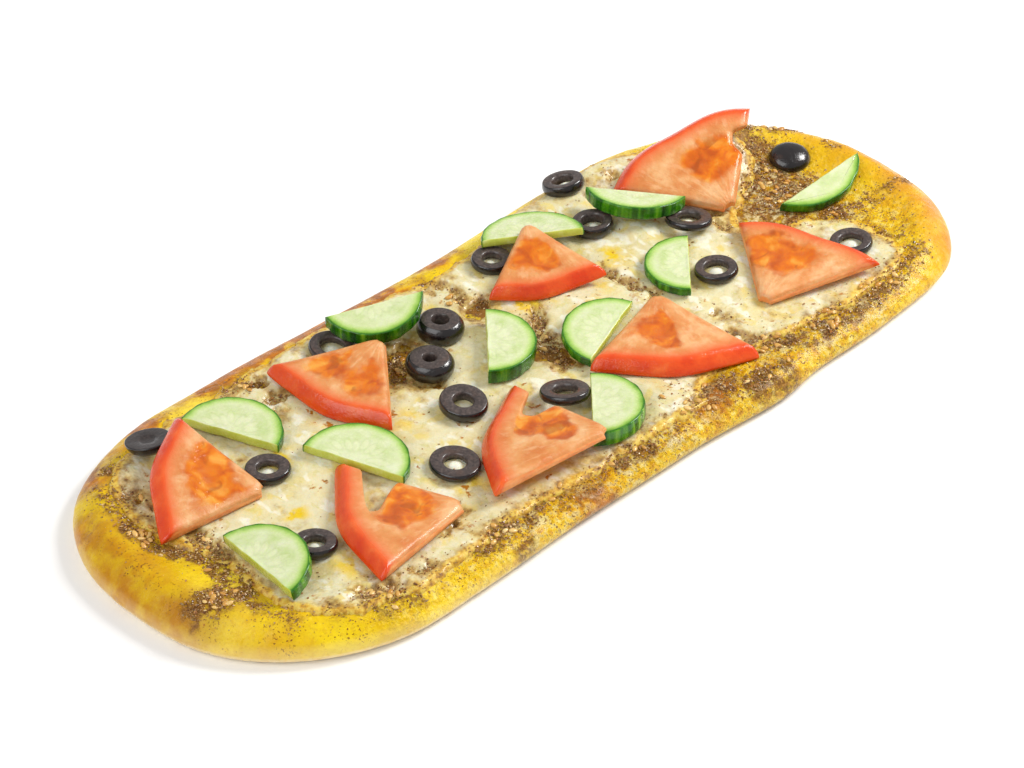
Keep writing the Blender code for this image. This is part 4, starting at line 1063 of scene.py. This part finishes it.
def cucumber_piece(name, radius, thickness, share, seed):
    """A half slice with its rind, a paler heart and the marks of its seeds."""
    start = radius * (1 - share)
    half = math.acos(start / radius)
    draw = random.Random(seed)
    arc, straight, inner = SLICE_STEPS
    loop = []
    for k in range(arc + 1):
        a = -half + 2 * half * k / arc
        ridge = 1 + 0.006 * math.cos(11 * a + seed) + 0.004 * math.cos(23 * a)
        loop.append((radius * ridge * math.cos(a) - start, radius * ridge * math.sin(a)))
    reach = radius * math.sin(half)
    for k in range(1, straight):
        y = reach * (1 - 2 * k / straight)
        loop.append((0.35 * MM * noise.noise(Vector((y / (6 * MM), seed, 0))), y))
    loop = np.array(loop)
    normals = outward(loop)
    centre = np.array([reach * 0.42, 0.0])
    seeds = []
    for k in range(SEEDS_IN_SLICE):
        a = math.radians(-80 + 20 * k + draw.uniform(-6, 6))
        r = radius * draw.uniform(0.36, 0.52)
        seeds.append((r * math.cos(a), r * math.sin(a), a))
    vertices, data, rings = [], [], []

    def marks(x, y):
        """Distance to the rind, share of the heart, nearest seed."""
        cx = x + start
        r = math.hypot(cx, y)
        best = 0.0
        for sx, sy, a in seeds:
            dx, dy = cx - sx, y - sy
            along = dx * math.cos(a) + dy * math.sin(a)
            across = -dx * math.sin(a) + dy * math.cos(a)
            best = max(best, math.exp(-(along / (3.0 * MM)) ** 2 - (across / (1.25 * MM)) ** 2))
        heart = 1 - smoothstep(0.42, 0.62, r / radius)
        return (radius - r) / MM, float(heart), best

    def add_ring(points, z, rind, cut):
        first = len(vertices)
        for k, (x, y) in enumerate(points):
            rim, heart, seed_mark = marks(x, y)
            on_arc = k <= arc
            height = z[k] if isinstance(z, list) else z
            vertices.append((x, y, height))
            data.append((rim, heart, seed_mark, rind if on_arc else 0.0, cut if not on_arc else 0.0,
                         (k / arc) * 2 * half * radius / MM if on_arc else 0.0))
        rings.append(list(range(first, first + len(points))))

    for inset, z in ((0.5, 0.0), (0.12, 0.25), (0.0, 0.6)):
        add_ring(loop - normals * inset * MM, z * MM, 1.0, 1.0)
    for k in range(1, 6):
        z = 0.6 * MM + (thickness - 1.1 * MM) * k / 5
        add_ring(loop + normals * 0.12 * MM * math.sin(math.pi * k / 5), z, 1.0, 1.0)
    add_ring(loop - normals * 0.08 * MM, thickness - 0.22 * MM, 0.9, 0.8)
    add_ring(loop - normals * 0.32 * MM, thickness - 0.03 * MM, 0.1, 0.1)
    edge = loop - normals * 0.32 * MM
    for n in range(1, inner + 1):
        shrink = 1 - n / inner * 0.985
        points = centre + (edge - centre) * shrink
        heights = []
        for x, y in points:
            _, heart, seed_mark = marks(x, y)
            soft = noise.noise(Vector((x, y, seed)) / (7 * MM)) * 0.12
            lift = (soft - 0.38 * heart + 0.2 * seed_mark * heart) * MM
            heights.append(thickness + lift * min(1, n / 4))
        add_ring(points, heights, 0.0, 0.0)
    faces = bands(rings)
    faces += [tuple(reversed(rings[0])), tuple(rings[-1])]
    made = mesh_object(name, vertices, faces)
    data = np.array(data)
    for k, key in enumerate(("rim", "heart", "seed", "rind", "cut")):
        give(made, key, data[:, k])
    z = np.array(vertices)[:, 2] / MM
    give(made, "round", np.stack([data[:, 5], np.full(len(data), seed * 5.3), z], axis=1))
    return made


def olive_piece(name, radius, height, hole, seed):
    """A ring of an olive, or an end lying domed side up (hole 0) or cut side up (hole below 0)."""
    vertices, data, rings = [], [], []
    angles = [2 * math.pi * k / OLIVE_STEPS for k in range(OLIVE_STEPS)]
    wobble = [0.012 * noise.noise(Vector((math.cos(a), math.sin(a), seed)) * 2) for a in angles]

    def ring(r, z, cut):
        first = len(vertices)
        for a, uneven in zip(angles, wobble):
            oval = (1 + OLIVE_OVAL * math.cos(2 * a + radius / MM)) * (1 + uneven)
            vertices.append((r * oval * math.cos(a), r * oval * math.sin(a), z))
            data.append(cut)
        rings.append(list(range(first, first + OLIVE_STEPS)))

    if hole == 0:
        for r in (0.2, 0.9):
            ring(radius * r, 0.0, 0.6)
        for n in range(17):
            a = n / 16 * 1.5
            ring(radius * math.cos(a) ** 0.85, height * math.sin(a), 0.0)
    elif hole < 0:
        for n in range(17):
            a = 1.5 * (1 - n / 16)
            ring(radius * math.cos(a) ** 0.6, height * (1 - math.sin(a)) * 0.97, 0.0)
        for r, z in ((0.975, 0.995), (0.94, 1.0), (0.7, 0.985), (0.45, 0.97), (0.36, 0.93),
                     (0.28, 0.84), (0.12, 0.80)):
            ring(radius * r, height * z, 0.3 if r > 0.96 else 0.5)
    else:
        drawn_in = OLIVE_EDGE + (END_PIECE_TAPER if height > END_PIECE_HEIGHT else 0)
        profile = [
            (hole + 0.1 * MM, 0.0, 1.0),
            ((hole + radius) / 2, 0.0, 1.0),
            (radius - 1.1 * OLIVE_EDGE, 0.0, 0.6),
        ]
        for n in range(1, 10):
            t = n / 10
            if t < 0.45:
                inward = OLIVE_EDGE * (1 - t / 0.45) ** 2
            else:
                inward = drawn_in * ((t - 0.45) / 0.55) ** 2
            profile.append((radius - inward, height * t, 0.0))
        profile += [
            (radius - drawn_in - 0.02 * MM, height * 0.975, 0.25),
            (radius - drawn_in - 0.25 * MM, height, 0.9),
            ((hole + radius - drawn_in) / 2, height - 0.1 * MM, 1.0),
            (hole + 0.55 * MM, height - 0.05 * MM, 1.0),
            (hole + 0.25 * MM, height - 0.25 * MM, 1.0),
            (hole - 0.1 * MM, height * 0.78, 1.0),
            (hole - 0.25 * MM, height * 0.5, 1.0),
            (hole - 0.1 * MM, height * 0.2, 1.0),
        ]
        for r, z, cut in profile:
            ring(r, z, cut)
    if hole > 0:
        faces = bands(rings + rings[:1])
    else:
        faces = bands(rings) + [tuple(reversed(rings[0])), tuple(rings[-1])]
    made = mesh_object(name, vertices, faces)
    give(made, "cut", data)
    return made


def build_toppings():
    pieces = []
    red, green, black = tomato_material(), cucumber_material(), olive_material()
    for n, (name, x, y, heading, sweep, radius, thickness, mouth) in enumerate(TOMATOES):
        made = tomato_piece(name, sweep, radius * MM, thickness * MM, mouth, n + 1)
        matrix = resting_matrix(name, x, y, heading)
        pieces.append(set_topping(made, name, matrix, red))
    for n, (name, x, y, heading, radius, thickness, share) in enumerate(CUCUMBERS):
        made = cucumber_piece(f"{name}_slice", radius * MM, thickness * MM, share, n + 1)
        matrix = resting_matrix(name, x, y, heading)
        pieces.append(set_topping(made, name, matrix, green))
    for n, (name, x, y, radius, height, hole) in enumerate(OLIVES):
        made = olive_piece(f"{name}_cut", radius * MM, height * MM, hole * MM, n + 1)
        matrix = resting_matrix(name, x, y, 0, height * MM if hole < 0 else None)
        pieces.append(set_topping(made, name, matrix, black))
    return pieces


# Zaatar and sesame

def surface_under(points):
    """Height of the cheese or bread that shows at each place of the plan."""
    base = bread_top(points)
    depth = cheese_depth(points)
    return np.where(depth > 0.15 * MM, base + GAP + depth, base)


def cover_tree(pieces):
    """A search tree of all the toppings."""
    vertices, faces = [], []
    for made in pieces:
        mesh = made.data
        join(vertices, faces, [v.co for v in mesh.vertices], [p.vertices for p in mesh.polygons])
    return BVHTree.FromPolygons(vertices, faces)


def uncovered(tree, points, margin):
    """Whether the sky is clear over each place, a margin aside."""
    clear = np.ones(len(points), bool)
    for dx, dy in {(0, 0), (margin, 0), (-margin, 0), (0, margin), (0, -margin)}:
        for k, (x, y) in enumerate(points):
            if clear[k]:
                start = Vector((x - MIDDLE[0] + dx, y - MIDDLE[1] + dy, SKY))
                clear[k] = tree.ray_cast(start, -UP)[0] is None
    return clear


OCTAHEDRON = np.array([(1, 0, 0), (0, 1, 0), (-1, 0, 0), (0, -1, 0), (0, 0, 1), (0, 0, -1)], float)
OCTAHEDRON_FACES = [
    (0, 1, 4), (1, 2, 4), (2, 3, 4), (3, 0, 4), (1, 0, 5), (2, 1, 5), (3, 2, 5), (0, 3, 5),
]


def scatter_grains(tree):
    """Crumbs of dried herbs, sumac and broken seed, thick where the zaatar lies."""
    draw = np.random.default_rng(7)
    low, high = BREAD_EDGE.min(0), BREAD_EDGE.max(0)
    spots = draw.uniform(low, high, (GRAIN_TRIES, 2))
    inset = distance_to(BREAD_EDGE, spots)
    inset[~inside(BREAD_EDGE, spots)] = 0
    spots = spots[inset > GRAIN_INSET]
    inset = inset[inset > GRAIN_INSET]
    density = zaatar_density(spots)
    rough = np.clip(bumps(spots, ROUGH_MM), 0, 1) * (inset > 4.5 * MM)
    background = (0.02 + 0.17 * rough) * (0.6 + 1.2 * ripple(spots, 7 * MM, 4.2))
    depth = cheese_depth(spots)
    hidden = np.clip(depth / (1.6 * MM), 0, 1)
    chance = np.clip(density, 0, 1.2) ** 1.5 * (1 - 0.86 * hidden) + background * (1 - 0.6 * hidden)
    kept = draw.uniform(0, 0.9, len(spots)) < chance
    spots, density = spots[kept], density[kept]
    clear = uncovered(tree, spots, 0.0)
    spots, density = spots[clear][:GRAIN_LIMIT], density[clear][:GRAIN_LIMIT]
    heights = surface_under(spots)
    vertices, faces, pick = [], [], []
    for k, ((x, y), z) in enumerate(zip(spots, heights)):
        size = float(np.clip(draw.lognormal(-1.2, 0.36), 0.14, 0.65)) * MM
        if density[k] < 0.15:
            size *= 0.8
        stretch = np.array([draw.uniform(0.8, 1.7), draw.uniform(0.7, 1.1), draw.uniform(0.5, 0.9)])
        body = OCTAHEDRON * stretch * size * draw.uniform(0.75, 1.2, (6, 1))
        a, b = draw.uniform(0, 2 * math.pi), draw.uniform(-0.6, 0.6)
        turn = np.array(Matrix.Rotation(a, 3, "Z") @ Matrix.Rotation(b, 3, "X"))
        lift = 0.25 * size + draw.uniform(0, 0.5 * MM) * min(1, density[k])
        body = body @ turn.T + (x, y, z + lift)
        join(vertices, faces, body, OCTAHEDRON_FACES)
        kind = float(draw.uniform() ** 1.25)
        pick += [kind if density[k] > 0.3 else 0.22 + 0.6 * kind] * 6
    made = mesh_object("zaatar_grains", shift(vertices), faces, smooth=False)
    give(made, "pick", pick)
    made.data.materials.append(grain_material())
    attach(made, "root")


def sesame_shape():
    """One seed, a drop that points along x: vertices within 1 of its middle, faces, tipness."""
    around, along = SEED_STEPS
    vertices, rings = [(-1.0, 0.0, 0.0), (1.0, 0.0, 0.0)], []
    for k in range(1, along):
        x = -math.cos(math.pi * k / along)
        wide = math.sin(math.pi * k / along) * (1 - SEED_TAPER * max(0.0, x) ** 1.5)
        rings.append(list(range(len(vertices), len(vertices) + around)))
        for j in range(around):
            a = 2 * math.pi * (j + 0.5) / around
            vertices.append((x, wide * math.cos(a), wide * math.sin(a)))
    faces = bands(rings)
    for j in range(around):
        n = (j + 1) % around
        faces += [(0, rings[0][n], rings[0][j]), (1, rings[-1][j], rings[-1][n])]
    return np.array(vertices), faces, [max(0.0, v[0]) for v in vertices]


def well_inside(points):
    return inside(BREAD_EDGE, points) & (distance_to(BREAD_EDGE, points) > SESAME_INSET)


def scatter_sesame(tree):
    draw = np.random.default_rng(21)
    spots = []
    for x, y, spread, count in SESAME_MM:
        for _ in range(math.ceil(0.8 * count)):
            spots.append(np.array([x, y]) * MM + draw.normal(0, spread * 0.75 * MM, 2))
    spots = np.array(spots)
    extra = draw.uniform(BREAD_EDGE.min(0), BREAD_EDGE.max(0), (SESAME_TRIES, 2))
    wanted = (zaatar_density(extra) > 0.62) & well_inside(extra)
    spots = np.vstack([spots[well_inside(spots)], extra[wanted][:SESAME_LIMIT]])
    spots = spots[uncovered(tree, spots, 1.2 * MM)]
    heights = surface_under(spots)
    shape, shape_faces, shape_tips = sesame_shape()
    vertices, faces, pick, tips = [], [], [], []
    for (x, y), z in zip(spots, heights):
        scale = np.array(SESAME_SIZE) * draw.uniform(0.82, 1.15)
        turn = (
            Matrix.Rotation(draw.uniform(0, 2 * math.pi), 3, "Z")
            @ Matrix.Rotation(draw.uniform(-0.35, 0.35), 3, "Y")
            @ Matrix.Rotation(draw.uniform(-0.4, 0.4), 3, "X")
        )
        body = (shape * scale) @ np.array(turn).T + (x, y, z + 0.3 * MM)
        join(vertices, faces, body, shape_faces)
        pick += [float(draw.uniform())] * len(shape)
        tips += shape_tips
    made = mesh_object("sesame_seeds", shift(vertices), faces)
    give(made, "pick", pick)
    give(made, "tip", tips)
    made.data.materials.append(sesame_material())
    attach(made, "root")


# Stage

def area_light(name, place, size, power, colour):
    """A square light that faces the middle of the part."""
    light = bpy.data.lights.new(name, "AREA")
    light.shape = "SQUARE"
    light.size = size
    light.energy = power
    light.color = colour
    holder = bpy.data.objects.new(name, light)
    holder.location = place
    holder.rotation_euler = (-place).to_track_quat("-Z", "Y").to_euler()
    bpy.context.scene.collection.objects.link(holder)


def build_stage():
    corners = [(FLOOR_REACH * x, FLOOR_REACH * y, FLOOR_HEIGHT)
               for x, y in ((-1, -1), (1, -1), (1, 1), (-1, 1))]
    floor = mesh_object("floor", corners, [(0, 1, 2, 3)])
    m = Shade("pale floor", 0.7, specular=0.2)
    m.feed("Base Color", m.mix(m.noise(0.4, 2), (0.95, 0.95, 0.95, 1), (0.97, 0.97, 0.97, 1)))
    floor.data.materials.append(m.material)
    scene = bpy.context.scene
    world = bpy.data.worlds.new("studio")
    scene.world = world
    world.use_nodes = True
    background = world.node_tree.nodes["Background"].inputs
    background["Color"].default_value = (1, 1, 1, 1)
    background["Strength"].default_value = WORLD_STRENGTH
    heading = math.radians(CAMERA_HEADING)
    right = Vector((math.cos(heading), -math.sin(heading), 0))
    ahead = Vector((math.sin(heading), math.cos(heading), 0))
    slope = math.radians(CAMERA_ELEVATION)
    look = ahead * math.cos(slope) - UP * math.sin(slope)
    camera_data = bpy.data.cameras.new("camera")
    camera_data.lens = CAMERA_LENS
    camera_data.sensor_width = 36
    camera = bpy.data.objects.new("camera", camera_data)
    camera.location = Vector(CAMERA_TARGET) - look * CAMERA_DISTANCE
    camera.rotation_euler = look.to_track_quat("-Z", "Y").to_euler()
    scene.collection.objects.link(camera)
    scene.camera = camera
    area_light("key", right * 0.85 + ahead * 0.35 + UP * 0.85, 0.45, 14, (1.0, 0.99, 0.97))
    area_light("fill", right * -0.9 - ahead * 0.8 + UP * 1.1, 1.2, 12, (1, 1, 1))
    scene.view_settings.view_transform = "Standard"
    scene.view_settings.look = "None"


def main():
    build_stage()
    build_bread()
    build_cheese()
    pieces = build_toppings()
    tree = cover_tree(pieces)
    scatter_grains(tree)
    scatter_sesame(tree)


main()
